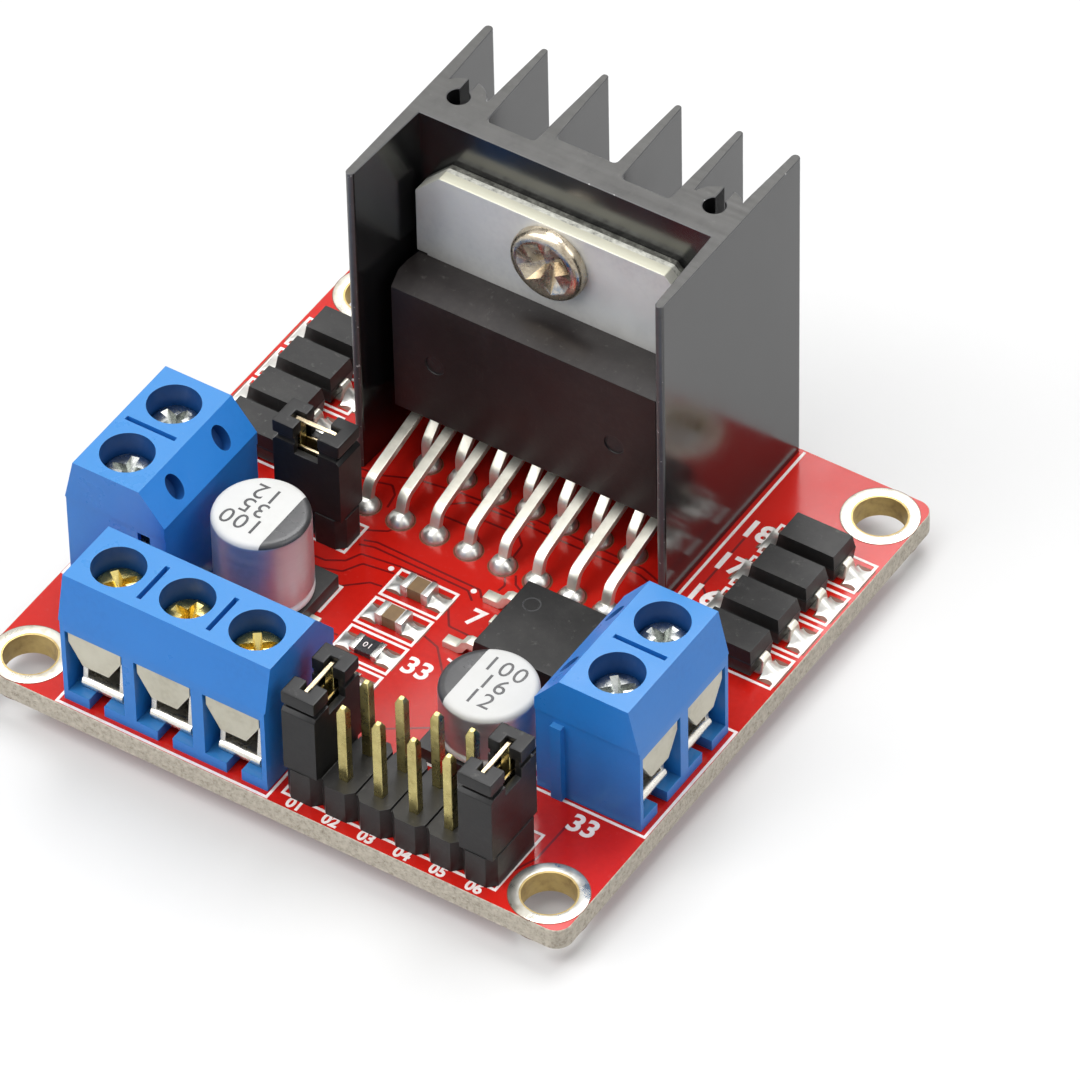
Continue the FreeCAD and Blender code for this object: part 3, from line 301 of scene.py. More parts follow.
# an outline in the first two axes, pushed from low to high along the third
def addPrism(mesh, outline, low, high, axes="xyz"):
    order = [axes.index(a) for a in "xyz"]
    rings = [[(across, up, level) for across, up in outline] for level in (low, high)]
    addSkin(mesh, [[[spot[k] for k in order] for spot in ring] for ring in rings])


def rectangle(x, y):
    return [(-x, -y), (x, -y), (x, y), (-x, y)]


def addBox(mesh, low, high):
    (x0, y0, z0), (x1, y1, z1) = low, high
    addPrism(mesh, [(x0, y0), (x1, y0), (x1, y1), (x0, y1)], z0, z1)


def boxMesh(low, high):
    mesh = bmesh.new()
    addBox(mesh, low, high)
    return mesh


def arc(x, y, radius, start, sweep, steps):
    angles = [start + sweep * i / steps for i in range(steps + 1)]
    return [(x + radius * math.cos(angle), y + radius * math.sin(angle)) for angle in angles]


# rows of (radius, height) turned about an upright axis, or one that points forward; radius 0 closes the end
def addLathe(mesh, profile, centre=(0, 0, 0), steps=48, forward=False):
    turn = Matrix.Rotation(math.pi / 2 * forward, 3, "X")
    addSkin(mesh, [[Vector(centre) + turn @ Vector((u, v, height))
                    for u, v in (arc(0, 0, radius, 0, 2 * math.pi, steps)[:-1] if radius else [(0, 0)])]
                   for radius, height in profile], caps=False)


# a polyline with its corners turned into arcs
def roundedPath(points, radius, steps=6):
    path = [Vector(points[0])]
    for before, corner, after in zip(points, points[1:], points[2:]):
        before, corner, after = Vector(before), Vector(corner), Vector(after)
        come, go = (corner - before).normalized(), (after - corner).normalized()
        half = come.angle(go) / 2
        if half < 0.01:
            path.append(corner)
            continue
        reach = radius * math.tan(half)
        first, last = corner - come * reach, corner + go * reach
        middle = corner + (go - come).normalized() * (radius / math.cos(half))
        spots = [first.lerp(last, i / steps) - middle for i in range(steps + 1)]
        path += [middle + spot.normalized() * radius for spot in spots]
    return path + [Vector(points[-1])]


# the two long sides of a strip of even width along a path, with mitred corners
def ribbonSides(path, width, closed=False):
    path = [Vector(p) for p in path]
    left, right = [], []
    for i, spot in enumerate(path):
        before = path[i - 1] if i or closed else None
        after = path[(i + 1) % len(path)] if i < len(path) - 1 or closed else None
        come = (spot - before).normalized() if before is not None else (after - spot).normalized()
        go = (after - spot).normalized() if after is not None else come
        lean = (come + go).normalized()
        side = Vector((-lean.y, lean.x)) * (width / 2 / max(0.35, lean.dot(come)))
        left.append(spot + side)
        right.append(spot - side)
    return left, right


# the outline of a strip along a path, for a prism
def stripOutline(path, width):
    left, right = ribbonSides(path, width)
    return [tuple(spot) for spot in right + left[::-1]]


def addRibbon(mesh, path, width, low, high, closed=False):
    rows = [[(a.x, a.y, low), (b.x, b.y, low), (b.x, b.y, high), (a.x, a.y, high)]
            for a, b in zip(*ribbonSides(path, width, closed))]
    addSkin(mesh, rows, not closed, closed)


# plain numerals from the built-in font, as thin plates
def addNumerals(mesh, text, size, spot, turn, low, high, bold=0.0, spacing=1.0):
    curve = bpy.data.curves.new("numerals", "FONT")
    curve.body, curve.size = text, size
    curve.align_x = curve.align_y = "CENTER"
    curve.resolution_u = 4
    curve.space_character = spacing
    curve.offset = bold
    curve.extrude = (high - low) / 2
    holder = bpy.data.objects.new("numerals", curve)
    plates = bpy.data.meshes.new_from_object(holder)
    seat = Matrix.Translation((*spot, (low + high) / 2))
    plates.transform(seat @ Matrix.Rotation(math.radians(turn), 4, "Z"))
    mesh.from_mesh(plates)
    bpy.data.objects.remove(holder)
    bpy.data.meshes.remove(plates)
    bpy.data.curves.remove(curve)


def softenEdges(mesh, width, segments=2, limit=28):
    hard = [e for e in mesh.edges if len(e.link_faces) == 2 and e.calc_face_angle() > math.radians(limit)]
    bmesh.ops.bevel(mesh, geom=hard, offset=width, segments=segments, profile=0.6, affect="EDGES",
                    clamp_overlap=True, material=-1)


def asObject(mesh, name):
    data = bpy.data.meshes.new(name)
    mesh.to_mesh(data)
    mesh.free()
    made = bpy.data.objects.new(name, data)
    bpy.context.scene.collection.objects.link(made)
    return made


def evaluated(piece):
    bpy.context.view_layer.update()
    return bpy.data.meshes.new_from_object(piece.evaluated_get(bpy.context.evaluated_depsgraph_get()))


def joinInto(mesh, other):
    data = bpy.data.meshes.new("joined")
    other.to_mesh(data)
    other.free()
    mesh.from_mesh(data)
    bpy.data.meshes.remove(data)


# smooths a mesh, brings it to metres and hangs it on its body, in place of a node or beside the nodes
def hang(name, mesh, finishes, node=None, sharp=32):
    bmesh.ops.recalc_face_normals(mesh, faces=mesh.faces)
    for face in mesh.faces:
        face.smooth = True
    for edge in mesh.edges:
        if len(edge.link_faces) == 2 and edge.calc_face_angle() > math.radians(sharp):
            edge.smooth = False
    mesh.transform(Matrix.Scale(0.001, 4))
    piece = asObject(mesh, name)
    rough = piece.data
    for one in finishes if isinstance(finishes, list) else [finishes]:
        rough.materials.append(one)
    piece.modifiers.new("even", "WEIGHTED_NORMAL").keep_sharp = True   # flat faces keep their own normal
    piece.data = evaluated(piece)
    piece.modifiers.clear()
    bpy.data.meshes.remove(rough)
    piece.data.name = name
    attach(piece, nodeBody.get(node, "module"))
    if node:
        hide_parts(node)
    return piece


# flat faces made whole, and doubled points joined
def cleanMesh(mesh, distance):
    bmesh.ops.remove_doubles(mesh, verts=mesh.verts, dist=distance)
    bmesh.ops.dissolve_limit(mesh, angle_limit=math.radians(0.6), verts=mesh.verts, edges=mesh.edges,
                             use_dissolve_boundaries=False)
    return mesh


# a clean millimetre copy of a CAD node's surface
def solidOf(node):
    mesh = bmesh.new()
    mesh.from_mesh(frame["nodes"][node].data)
    mesh.transform(Matrix.Scale(1000, 4))
    return cleanMesh(mesh, 0.0005)


# the node's own surface with its edges softened
def dress(node, material, width, segments=2):
    mesh = solidOf(node)
    softenEdges(mesh, width, segments)
    return hang("dressed_" + node, mesh, material, node)


# the box of each separate solid in a node, and the middle of its top
def solidBoxes(node):
    mesh = solidOf(node)
    left = dict.fromkeys(mesh.verts)   # a dictionary keeps its order, so each run gives the same
    boxes = []
    while left:
        group, edge = [], [left.popitem()[0]]
        while edge:
            spot = edge.pop()
            group.append(spot)
            for link in spot.link_edges:
                other = link.other_vert(spot)
                if other in left:
                    del left[other]
                    edge.append(other)
        low, high = ([way(v.co[i] for v in group) for i in range(3)] for way in (min, max))
        tops = [v.co for v in group if v.co.z > high[2] - 0.02]
        boxes.append((low, high, [sum(t[i] for t in tops) / len(tops) for i in range(3)]))
    mesh.free()
    return boxes


# takes each cutter out of a closed mesh
def cutWith(mesh, cutters):
    for one in [mesh] + cutters:
        bmesh.ops.recalc_face_normals(one, faces=one.faces)
    whole = asObject(mesh, "toCut")
    tools = [asObject(cutter, "cutter") for cutter in cutters]
    for tool in tools:
        modifier = whole.modifiers.new("cut", "BOOLEAN")
        modifier.operation = "DIFFERENCE"
        modifier.solver = "EXACT"
        modifier.object = tool
    left = evaluated(whole)
    result = bmesh.new()
    result.from_mesh(left)
    for data in [left, whole.data] + [tool.data for tool in tools]:
        bpy.data.meshes.remove(data)
    return cleanMesh(result, 0.002)


print("stage: tools ready")

# finishes that several pieces share
shared = {
    "tin": finish("leadTin", (0.76, 0.74, 0.65), (0.52, 0.49, 0.41), 500, (0.32, 0.48, 900), (2200, 0.004),
            amount=0.7, metal=0.8),
    "solder": finish("solderBright", (0.7, 0.69, 0.65), (0.38, 0.37, 0.35), 900, (0.26, 0.42, 1100),
            (1500, 0.004), amount=0.8, metal=0.85),
    # this bare laminate finish is also painted shade in the rings round the lead beads
    "bare": finish("bareLaminateAndShade", (0.16, 0.05, 0.025), (0.09, 0.03, 0.02), 900, (0.3, 0.5, 900),
            (3000, 0.004), amount=0.8),
    "print": finish("printWhite", (0.8, 0.75, 0.73), (0.62, 0.48, 0.45), 1300, (0.4, 0.55, 900),
            (5200, 0.006), speckle=4200, amount=0.7),
    "dark": finish("canInk", (0.03, 0.03, 0.032), (0.06, 0.06, 0.062), 400, (0.24, 0.36, 500), (2600, 0.003),
            amount=0.7, dust=0.1),
}

# board: red solder mask over glass laminate
board = {
    "soft": 0.05,
    "mask": finish("boardMask", (0.5, 0.011, 0.006), (0.36, 0.007, 0.005), 90, (0.1, 0.22, 240),
            (700, 0.0016), ior=1.4, dust=0.035),
    "edge": finish("boardEdge", (0.5, 0.455, 0.38), (0.18, 0.15, 0.11), 2600, speckle=7000, amount=0.9,
            lines=("linesFlat", 0.6, 0.9, 0.05), grain=(5200, 0.1), nicks=(4600, 0.3),
            nickTint=(0.58, 0.54, 0.46)),
}


def buildBoard():
    mesh = solidOf("circuit_board")
    softenEdges(mesh, board["soft"], 1)
    piece = hang("boardLaminate", mesh, [board["mask"], board["edge"]], "circuit_board")
    for face in piece.data.polygons:
        if abs(face.normal.z) < 0.8:
            face.material_index = 1


# plated mounting holes: a ring each side, a gap in the mask round it, a lined bore; rows are (radius, height)
mountingHoles = {
    "spots": [(x, y) for x in (-19.05, 19.05) for y in (-19.05, 19.05)], "steps": 72,
    "ring": [(1.82, -0.02), (1.85, 0.035), (1.94, 0.05), (2.4, 0.04), (2.5, 0.022), (2.5, -0.01)],
    "mouth": [(1.71, -0.3), (1.72, 0), (1.78, 0.02), (1.85, 0.018)],
    "gap": [(2.4, -0.01), (2.4, 0.012), (2.55, 0.012), (2.55, -0.01)],
    "lining": [(1.725, 0), (1.695, 0.2), (1.7, 0.8), (1.695, 1.4), (1.725, 1.6)],
    "tin": finish("ringTin", (0.66, 0.64, 0.57), (0.42, 0.37, 0.28), 420, (0.2, 0.42, 700), (1500, 0.012),
            amount=0.9, metal=1.0, scratches=(1.0, 0.5)),
    "bore": finish("boreLining", (0.56, 0.42, 0.17), (0.3, 0.2, 0.08), 900, (0.34, 0.6, 1200), (2500, 0.02),
            amount=0.9, metal=0.7),
}


def buildMountingHoles():
    m = SimpleNamespace(**mountingHoles)
    rings, gaps, bores = bmesh.new(), bmesh.new(), bmesh.new()
    for x, y in m.spots:
        for base, way in ((boardTop, 1), (0, -1)):
            for mesh, rows in ((rings, m.ring), (bores, m.mouth), (gaps, m.gap)):
                addLathe(mesh, [(radius, base + way * z) for radius, z in rows], (x, y, 0), m.steps)
        addLathe(bores, m.lining, (x, y, 0), m.steps)
    hang("mountingRings", rings, m.tin, sharp=50)
    hang("mountingGaps", gaps, shared["bare"], sharp=50)
    hang("mountingBores", bores, m.bore, sharp=60)


# gaps between the copper areas, seen through the mask as darker lines, and partly painted shade along the
# edges of the copper areas
gapLinesAndShade = {
    "lift": 0.006, "sunk": 0.02, "bend": 0.25, "topWide": 0.15, "underWide": 0.3,
    "dark": finish("gapRedAndShade", (0.17, 0.006, 0.006), (0.1, 0.004, 0.004), 300, (0.12, 0.24, 260), (900, 0.002),
            coat=0.3, coatRough=0.05),
    "top": [
        [(-12.6, -3.3), (-8.11, -3.26), (-6.74, -2.79), (-6.05, -1.58), (-3.9, -1.26)],
        [(-9.6, -2.6), (-8.2, -2.55), (-7.1, -1.9), (-6.6, -0.9), (-3.9, -0.55), (-1.2, -0.5)],
        [(-6.27, -4.05), (-4.74, -2.71), (-3.9, -2.6)],
        [(-12.2, 0.7), (-7.57, 0.99), (-6.32, 1.64), (-5.97, 2.2)],
        [(-7.15, 0.21), (-6.3, 0.48), (1.41, 0.36), (1.89, -0.2)],
        [(-7.2, -0.25), (-6.2, 0.02), (0.8, -0.08), (1.5, -0.7)],
        [(-13.0, 4.4), (-9.58, 4.86), (-8.33, 5.24), (-7.71, 4.58), (-7.5, 3.4)],
        [(-12.4, 5.2), (-9.4, 5.6), (-7.44, 6.46), (-4.37, 6.92), (-1.84, 7.06), (1.19, 6.98)],
        [(-5.0, 5.2), (-3.35, 6.51), (-0.5, 6.71), (2.14, 6.66), (9.12, 6.73), (11.0, 6.1)],
        [(0.94, 7.4), (9.01, 7.3), (10.9, 6.7)], [(-4.6, 4.6), (-2.2, 4.7), (-1.1, 4.1), (-1.0, 3.6)],
        [(-2.4, 5.6), (0.8, 5.7), (1.5, 5.0), (1.6, 3.6)], [(2.01, 2.28), (2.5, 1.5), (2.4, 0.9)],
        [(2.6, 2.6), (3.05, 1.9), (3.9, 1.5)],
        [(4.8, 2.2), (5.2, 1.6), (8.6, 1.5), (11.0, 1.0), (12.6, -0.4)],
        [(-5.9, -6.9), (-4.9, -7.6), (-3.9, -7.6)], [(-6.3, -9.0), (-5.2, -9.9), (-3.9, -10.0)],
        [(0.6, -2.0), (1.5, -3.3), (4.4, -3.4)], [(0.6, -4.8), (1.9, -5.2), (3.4, -6.9), (5.4, -7.3)],
        # the first line here, near x 16.9, is a painted reflection of the jumper cap beside it, not a copper
        # gap
        [(16.9, -13.6), (16.85, -17.0), (16.2, -18.6)], [(2.9, -15.0), (3.0, -12.8), (5.4, -11.2)],
        [(5.6, -15.0), (5.7, -14.2), (6.4, -13.6)], [(-0.4, -12.2), (0.9, -13.4), (0.9, -15.2)],
        [(12.9, 12.9), (12.9, 8.0), (13.6, 7.3), (14.6, 7.3)],
        [(-12.9, 12.9), (-12.9, 8.0), (-13.6, 7.3), (-14.6, 7.3)],
    ],
    "under": [
        [(-7.59, -14.0), (-7.59, -9.0), (-3.0, -4.4), (-3.0, 1.6)],
        [(-2.51, -14.0), (-2.51, -8.0), (-0.5, -6.0), (-0.5, 1.6)],
        [(-12.67, -14.0), (-12.67, -11.4), (-16.0, -8.0), (-16.0, 12.0), (-10.6, 15.0)],
        [(15.4, -7.8), (15.4, -5.9)], [(-15.4, -7.8), (-15.4, -5.9)],
        [(2.17, -15.6), (2.17, -12.0), (4.6, -9.6), (4.6, 1.6)],
        [(4.71, -15.6), (4.71, -12.8), (7.2, -10.2), (7.2, 6.6)],
        [(7.25, -15.6), (7.25, -13.4), (9.8, -10.8), (9.8, 4.0), (6.6, 7.2)],
        [(9.79, -15.6), (9.79, -14.0), (12.2, -11.6), (12.2, 6.0), (10.4, 7.8)],
        [(-10.15, 1.0), (-10.15, 3.6), (-8.0, 5.8), (-5.0, 5.8)],
        [(13.6, -3.2), (12.8, -2.0), (12.8, 10.2), (14.6, 12.0)],
        [(-13.6, -3.2), (-12.8, -2.0), (-12.8, 10.2), (-14.6, 12.0)],
    ],
}


def buildGapLinesAndShade():
    c = SimpleNamespace(**gapLinesAndShade)
    for name, lines, wide, base, way in (("top", c.top, c.topWide, boardTop, 1),
                                         ("under", c.under, c.underWide, 0, -1)):
        mesh = bmesh.new()
        low, high = sorted((base - c.sunk * way, base + c.lift * way))
        for line in lines:
            addRibbon(mesh, roundedPath(line, c.bend, 3), wide, low, high)
        hang(name + "GapLinesAndShade", mesh, c.dark)


# white print on the board: outlines, dots and plain numerals (text, x, y, size, bold)
boardPrint = {
    "line": 0.19, "low": boardTop - 0.02, "high": boardTop + 0.022, "dotRadius": 0.2,
    "boxes": [   # x0, y0, x1, y1
        (-3.68, -3.19, 0.5, -0.73), (-3.7, -5.97, 0.48, -3.59), (-3.64, -8.86, 0.49, -6.38),
        (-3.64, -11.75, 0.49, -9.25), (-12.75, -1.36, -7.58, 1.25), (0.75, -20.55, 16.15, -15.2),
    ],
    "lines": [
        [(12.05, 21.4), (12.05, 6.4)], [(-11.75, 21.4), (-11.75, 6.4)],
        [(-15.4, -13.2), (-15.4, -21.42), (0.12, -21.42), (0.12, -13.2), (-15.4, -13.2)],
        [(21.42, -12.1), (13.2, -12.1), (13.2, -1.65), (21.42, -1.65), (21.42, -12.1)],
        [(-21.42, -12.1), (-13.2, -12.1), (-13.2, -1.65), (-21.42, -1.65), (-21.42, -12.1)],
        [(-6.0, -6.55), (-6.0, -4.0), (-12.0, -4.0), (-12.9, -4.9)],
        [(5.86, -11.3), (5.86, -13.9), (11.9, -13.9)], [(3.0, 1.0), (4.5, 1.35), (10.9, 1.35)],
        [(3.0, -5.7), (4.5, -6.1), (5.4, -6.1)],
    ],
    "diodes": {"15": (2.58, 5.37), "16": (5.84, 8.6), "17": (9.07, 11.85), "18": (12.4, 15.12)},   # y0, y1
    "diodeBrackets": ((18.0, 21.2), (17.0, 14.25)), "diodeX": 13.35, "diodeSize": 2.1, "diodeBold": 0.07,
    "numerals": [("0%d" % (k + 1), 1.95 + 2.6 * k, -21.04, 1.15, 0.04) for k in range(6)] + [
        ("33", 1.9, -7.5, 2.0, 0.05), ("33", 17.8, -13.35, 2.0, 0.05), ("12", -17.4, -13.2, 2.0, 0.05),
        ("7", 2.5, -1.9, 2.0, 0.05)],
    "dots": [(1.14, 0.06), (-4.3, -1.0), (17.2, -20.4)],
}


def buildBoardPrint():
    p = SimpleNamespace(**boardPrint)
    mesh = bmesh.new()
    for x0, y0, x1, y1 in p.boxes:
        addRibbon(mesh, [(x0, y0), (x1, y0), (x1, y1), (x0, y1)], p.line, p.low, p.high, closed=True)
    for line in p.lines:
        closed = line[0] == line[-1]
        addRibbon(mesh, line[:-1] if closed else line, p.line, p.low, p.high, closed)
    for text, (y0, y1) in p.diodes.items():
        for side in (-1, 1):
            for near, far in p.diodeBrackets:
                path = [(side * near, y0), (side * far, y0), (side * far, y1), (side * near, y1)]
                addRibbon(mesh, path, p.line, p.low, p.high)
            spot = (side * p.diodeX, (y0 + y1) / 2)
            addNumerals(mesh, text, p.diodeSize, spot, 0, p.low, p.high, p.diodeBold)
    for text, x, y, size, bold in p.numerals:
        addNumerals(mesh, text, size, (x, y), 0, p.low, p.high, bold)
    for x, y in p.dots:
        addPrism(mesh, arc(x, y, p.dotRadius, 0, 2 * math.pi, 12)[:-1], p.low, p.high)
    hang("boardPrint", mesh, shared["print"], sharp=50)


buildBoard()
buildMountingHoles()
buildGapLinesAndShade()
buildBoardPrint()
print("stage: board and its print")

# heatsink: one black anodised extrusion with sawn ends, on two pins
sink = {
    "x": 0.2, "face": 12.5, "half": 11.5, "height": 25.0, "front": -7.0, "reach": 9.0,
    "plate": 1.5, "rib": 2.45, "channel": 10.6, "wallTip": 0.6, "wallRoot": 0.85,
    "finTip": 0.46, "finRoot": 0.95, "fins": (2.67, 7.12),
    "bossX": 9.3, "bossY": 2.45, "bossR": 1.75, "bore": 0.74, "slot": 0.72, "soft": 0.05,
    "pin": [(0, -1.4), (0.8, -1.4), (0.96, -1.25), (0.96, boardTop), (0.72, boardTop + 0.1), (0.72, 9.4),
            (0.57, 9.6), (0, 9.6)],
    "sides": finish("anodisedFace", (0.006, 0.006, 0.0065), (0.012, 0.012, 0.0125), 120, (0.14, 0.24, 220),
            (420, 0.001), ior=1.64, dust=0.05, scratches=(1.0, 0.1), scratchTint=(0.12, 0.12, 0.12)),
    # the pale nicks on the sawn ends and rims, and the rims' lighter tint, are partly wear and partly painted
    # glints
    "ends": finish("anodisedEnd", (0.046, 0.0448, 0.042), (0.024, 0.0232, 0.022), 600, amount=0.8,
            lines=("linesAcross", 0.36, 0.58, 0.006), nicks=(2600, 0.12), dust=0.06),
    "rims": finish("anodisedEdgeWearAndGlint", (0.05, 0.05, 0.052), (0.02, 0.02, 0.021), 900, (0.3, 0.45, 1800), ior=1.6,
            nicks=(1700, 0.42), nickTint=(0.42, 0.42, 0.41)),
}


# a half circle at a fin's tip, from its right side to its left seen along +Y
def tipArc(x, y, radius, way):
    return arc(x, y, radius, 0, way * math.pi, 6)


# the inside corner between a fin, which lies to one side of it, and the plate or rib under it
def finCorner(x, level, way):
    corner, up, along = (x, level), (x, level + 2), (x + way * 2, level)
    path = [along, corner, up] if way > 0 else [up, corner, along]
    return [tuple(p) for p in roundedPath(path, 0.3, 4)[1:-1]]


# the extrusion's outline for x above zero, from the channel round to the middle of the back
def sinkHalf():
    s = SimpleNamespace(**sink)
    tip, finTip, side = s.wallTip / 2, s.finTip / 2, s.finRoot / 2
    inner, (near, far) = s.half - s.wallRoot, s.fins
    start = math.acos(min(1, (inner - s.bossX) / s.bossR))
    gap, boreGap = math.asin(s.slot / 2 / s.bossR), math.asin(s.slot / 2 / s.bore)
    web = s.bossY + s.bore * 0.8
    first, last = math.pi / 2 + gap, math.pi - math.asin((web - s.bossY) / s.bossR)
    out = [(s.channel, 0.0)] + tipArc(s.half - tip, s.front + tip, tip, -1)[::-1]
    out += tipArc(s.half - tip, s.reach - tip, tip, 1) + [(inner, s.bossY + s.bossR * math.sin(start) + 0.35)]
    out += arc(s.bossX, s.bossY, s.bossR, start, math.pi / 2 - gap - start, 8)
    out += arc(s.bossX, s.bossY, s.bore, math.pi / 2 - boreGap, 2 * boreGap - 2 * math.pi, 32)
    out += arc(s.bossX, s.bossY, s.bossR, first, last - first, 8) + [(far + side * 0.9, web)]
    out += tipArc(far, s.reach - finTip, finTip, 1) + finCorner(far - side, s.plate, -1)
    out += finCorner(near + side, s.plate, 1) + tipArc(near, s.reach - finTip, finTip, 1)
    return out + finCorner(near - side, s.rib, -1)


def buildSink():
    s = SimpleNamespace(**sink)
    right = sinkHalf()
    mesh = bmesh.new()
    addPrism(mesh, [(x + s.x, y + s.face) for x, y in right + [(-x, y) for x, y in reversed(right)]],
             boardTop, boardTop + s.height)
    bmesh.ops.recalc_face_normals(mesh, faces=mesh.faces)
    rims = [e for e in mesh.edges if abs(e.verts[0].co.z - e.verts[1].co.z) < 1e-6]
    made = bmesh.ops.bevel(mesh, geom=rims, offset=s.soft, segments=1, affect="EDGES", clamp_overlap=True)
    for face in mesh.faces:
        face.material_index = 1 if abs(face.normal.z) > 0.95 else 0
    # the rims and the narrow front tips of the walls take a lighter finish: worn edges, and painted glints
    # along them
    for face in mesh.faces:   # the narrow front tips of the walls are worn as the rims are
        inTip = face.normal.y < -0.5 and face.calc_center_median().y < s.face + s.front + 0.3
        if abs(face.normal.z) < 0.1 and inTip:
            face.material_index = 2
    for face in made["faces"]:
        face.material_index = 2
    hang("heatsinkExtrusion", mesh, [s.sides, s.ends, s.rims], "heatsink", sharp=40)
    mesh = bmesh.new()
    for side in (-1, 1):
        addLathe(mesh, s.pin, (s.x + side * s.bossX, s.face + s.bossY, 0), 32)
    hang("heatsinkPins", mesh, shared["tin"], "heatsink_pins", sharp=40)


buildSink()
print("stage: heatsink")

# power chip: moulded body, metal tab, two rows of bent leads, soldered; paths are (inward, up)
chip = {
    "x": 0.2, "pitch": 2.54, "width": 0.7, "thick": 0.5, "bend": 0.9, "soft": 0.09, "leadSoft": 0.07,
    "front": {"count": 8, "path": [(9.3, 6.6), (9.3, 4.85), (3.35, 3.35), (2.92, 1.9), (2.87, 1.5),
                                   (2.87, -1.4)]},
    "rear": {"count": 7, "path": [(9.3, 6.6), (9.3, 4.9), (7.95, 3.6), (7.95, -1.4)]},
    "markX": 6.6, "markZ": 11.0, "markR": 0.72, "markDeep": (7.52, 8.2), "shear": 11.72, "burr": 12.08,
    # tall and wide are the least, and what chance adds
    "bead": {"tall": (0.6, 0.14), "wide": (0.82, 0.05), "lean": 0.14, "steps": 32},
    "padGapAndShade": [(0.74, -0.01), (0.74, 0.012), (0.98, 0.012), (0.98, -0.01)],
    "body": finish("chipMoulding", (0.01, 0.0075, 0.0075), (0.022, 0.0175, 0.0165), 130, (0.3, 0.46, 240),
            (5200, 0.006), amount=0.8, ior=1.36, dust=0.07, scratches=(1.0, 0.12),
            scratchTint=(0.12, 0.11, 0.1)),
    "mark": finish("mouldMark", (0.006, 0.0045, 0.0045), (0.012, 0.01, 0.01), 300, (0.4, 0.6, 600),
            (3600, 0.02)),
    "tab": finish("tabNickel", (0.68, 0.68, 0.66), (0.55, 0.55, 0.55), 160, (0.42, 0.6, 400), (3600, 0.006),
            amount=0.8, metal=0.55, rimTint=(0.66, 0.65, 0.53), nicks=(700, 0.16),
            nickTint=(0.07, 0.055, 0.05), scratches=(1.0, 0.4), scratchTint=(0.62, 0.62, 0.6)),
    "sheared": finish("tabSheared", (0.75, 0.75, 0.68), (0.2, 0.2, 0.17), 1500, (0.5, 0.7, 900),
            (2600, 0.08), speckle=5200, amount=1.0, metal=0.4),
    # the dark finish below is painted shade: a dark strip along the back of the tab's top, against the
    # heatsink plate
    "burred": finish("tabPaintedShadow", (0.06, 0.06, 0.052), (0.4, 0.4, 0.35), 1500, (0.5, 0.7, 900), (2600, 0.08),
            speckle=5200, amount=0.8, metal=0.4),
}


def leadSpots(name):
    row = chip[name]
    return [(chip["x"] + (i - (row["count"] - 1) / 2) * chip["pitch"], row["path"][-1][0])
            for i in range(row["count"])]


def buildLeads(name):
    mesh = bmesh.new()
    strip = stripOutline(roundedPath(chip[name]["path"], chip["bend"], 7), chip["thick"])
    for x, _ in leadSpots(name):
        addPrism(mesh, strip, x - chip["width"] / 2, x + chip["width"] / 2, "yzx")
    bmesh.ops.recalc_face_normals(mesh, faces=mesh.faces)
    softenEdges(mesh, chip["leadSoft"], 2, 50)
    hang("chipLeads_" + name, mesh, shared["tin"], "chip_%s_leads" % name)


# each bead climbs its lead unevenly, and sits in a dark ring: bare laminate and flux, and painted shade round
# the bead's foot
def buildBeads():
    b = SimpleNamespace(**chip["bead"])
    beads, rings = bmesh.new(), bmesh.new()
    for x, y in leadSpots("front") + leadSpots("rear"):
        tall, wide = (least + random.random() * more for least, more in (b.tall, b.wide))
        profile = [(0, tall + 0.06), (0.36, tall + 0.05), (0.46, tall * 0.96), (0.58, tall * 0.84),
                   (0.68, tall * 0.67), (0.76, tall * 0.46), (wide - 0.015, tall * 0.22),
                   (wide, tall * 0.08), (wide - 0.01, 0)]
        start = len(beads.verts)
        addLathe(beads, [(radius, boardTop + z) for radius, z in profile], (x, y, 0), b.steps)
        beads.verts.ensure_lookup_table()
        lean, swing = random.random() * b.lean, random.random() * 6.283
        for vert in beads.verts[start:]:
            off = Vector((vert.co.x - x, vert.co.y - y))
            if off.length > 0.38 and vert.co.z > boardTop + 0.05:
                vert.co.z += lean * math.cos(math.atan2(off.y, off.x) - swing) * (vert.co.z - boardTop)
        addLathe(rings, [(radius, boardTop + z) for radius, z in chip["padGapAndShade"]], (x, y, 0), b.steps)
    hang("leadSolderBeads", beads, shared["solder"], "lead_solder_beads", sharp=70)
    hang("leadPadGapsAndShade", rings, shared["bare"])


def buildChip():
    c = SimpleNamespace(**chip)
    body = dress("chip_body", [c.body, c.mark], c.soft)
    for face in body.data.polygons:   # the floors of the two ejector marks
        x, y, z = (1000 * value for value in face.center)
        if math.hypot(abs(x - c.x) - c.markX, z - c.markZ) < c.markR and c.markDeep[0] < y < c.markDeep[1]:
            face.material_index = 1
    tab = solidOf("chip_tab")
    softenEdges(tab, c.soft)
    for level in (c.shear, c.burr):
        bmesh.ops.bisect_plane(tab, geom=tab.verts[:] + tab.edges[:] + tab.faces[:], plane_co=(0, level, 0),
                               plane_no=(0, 1, 0))
    # top faces behind the shear line take the sheared edge; those behind the second line are painted dark, a
    # painted shade along the back of the tab
    for face in tab.faces:
        face.normal_update()
        y = face.calc_center_median().y
        if face.normal.z > 0.3 and y > c.shear:
            face.material_index = 2 if y > c.burr else 1
    hang("chipTab", tab, [c.tab, c.sheared, c.burred], "chip_tab")
    buildLeads("front")
    buildLeads("rear")
    buildBeads()


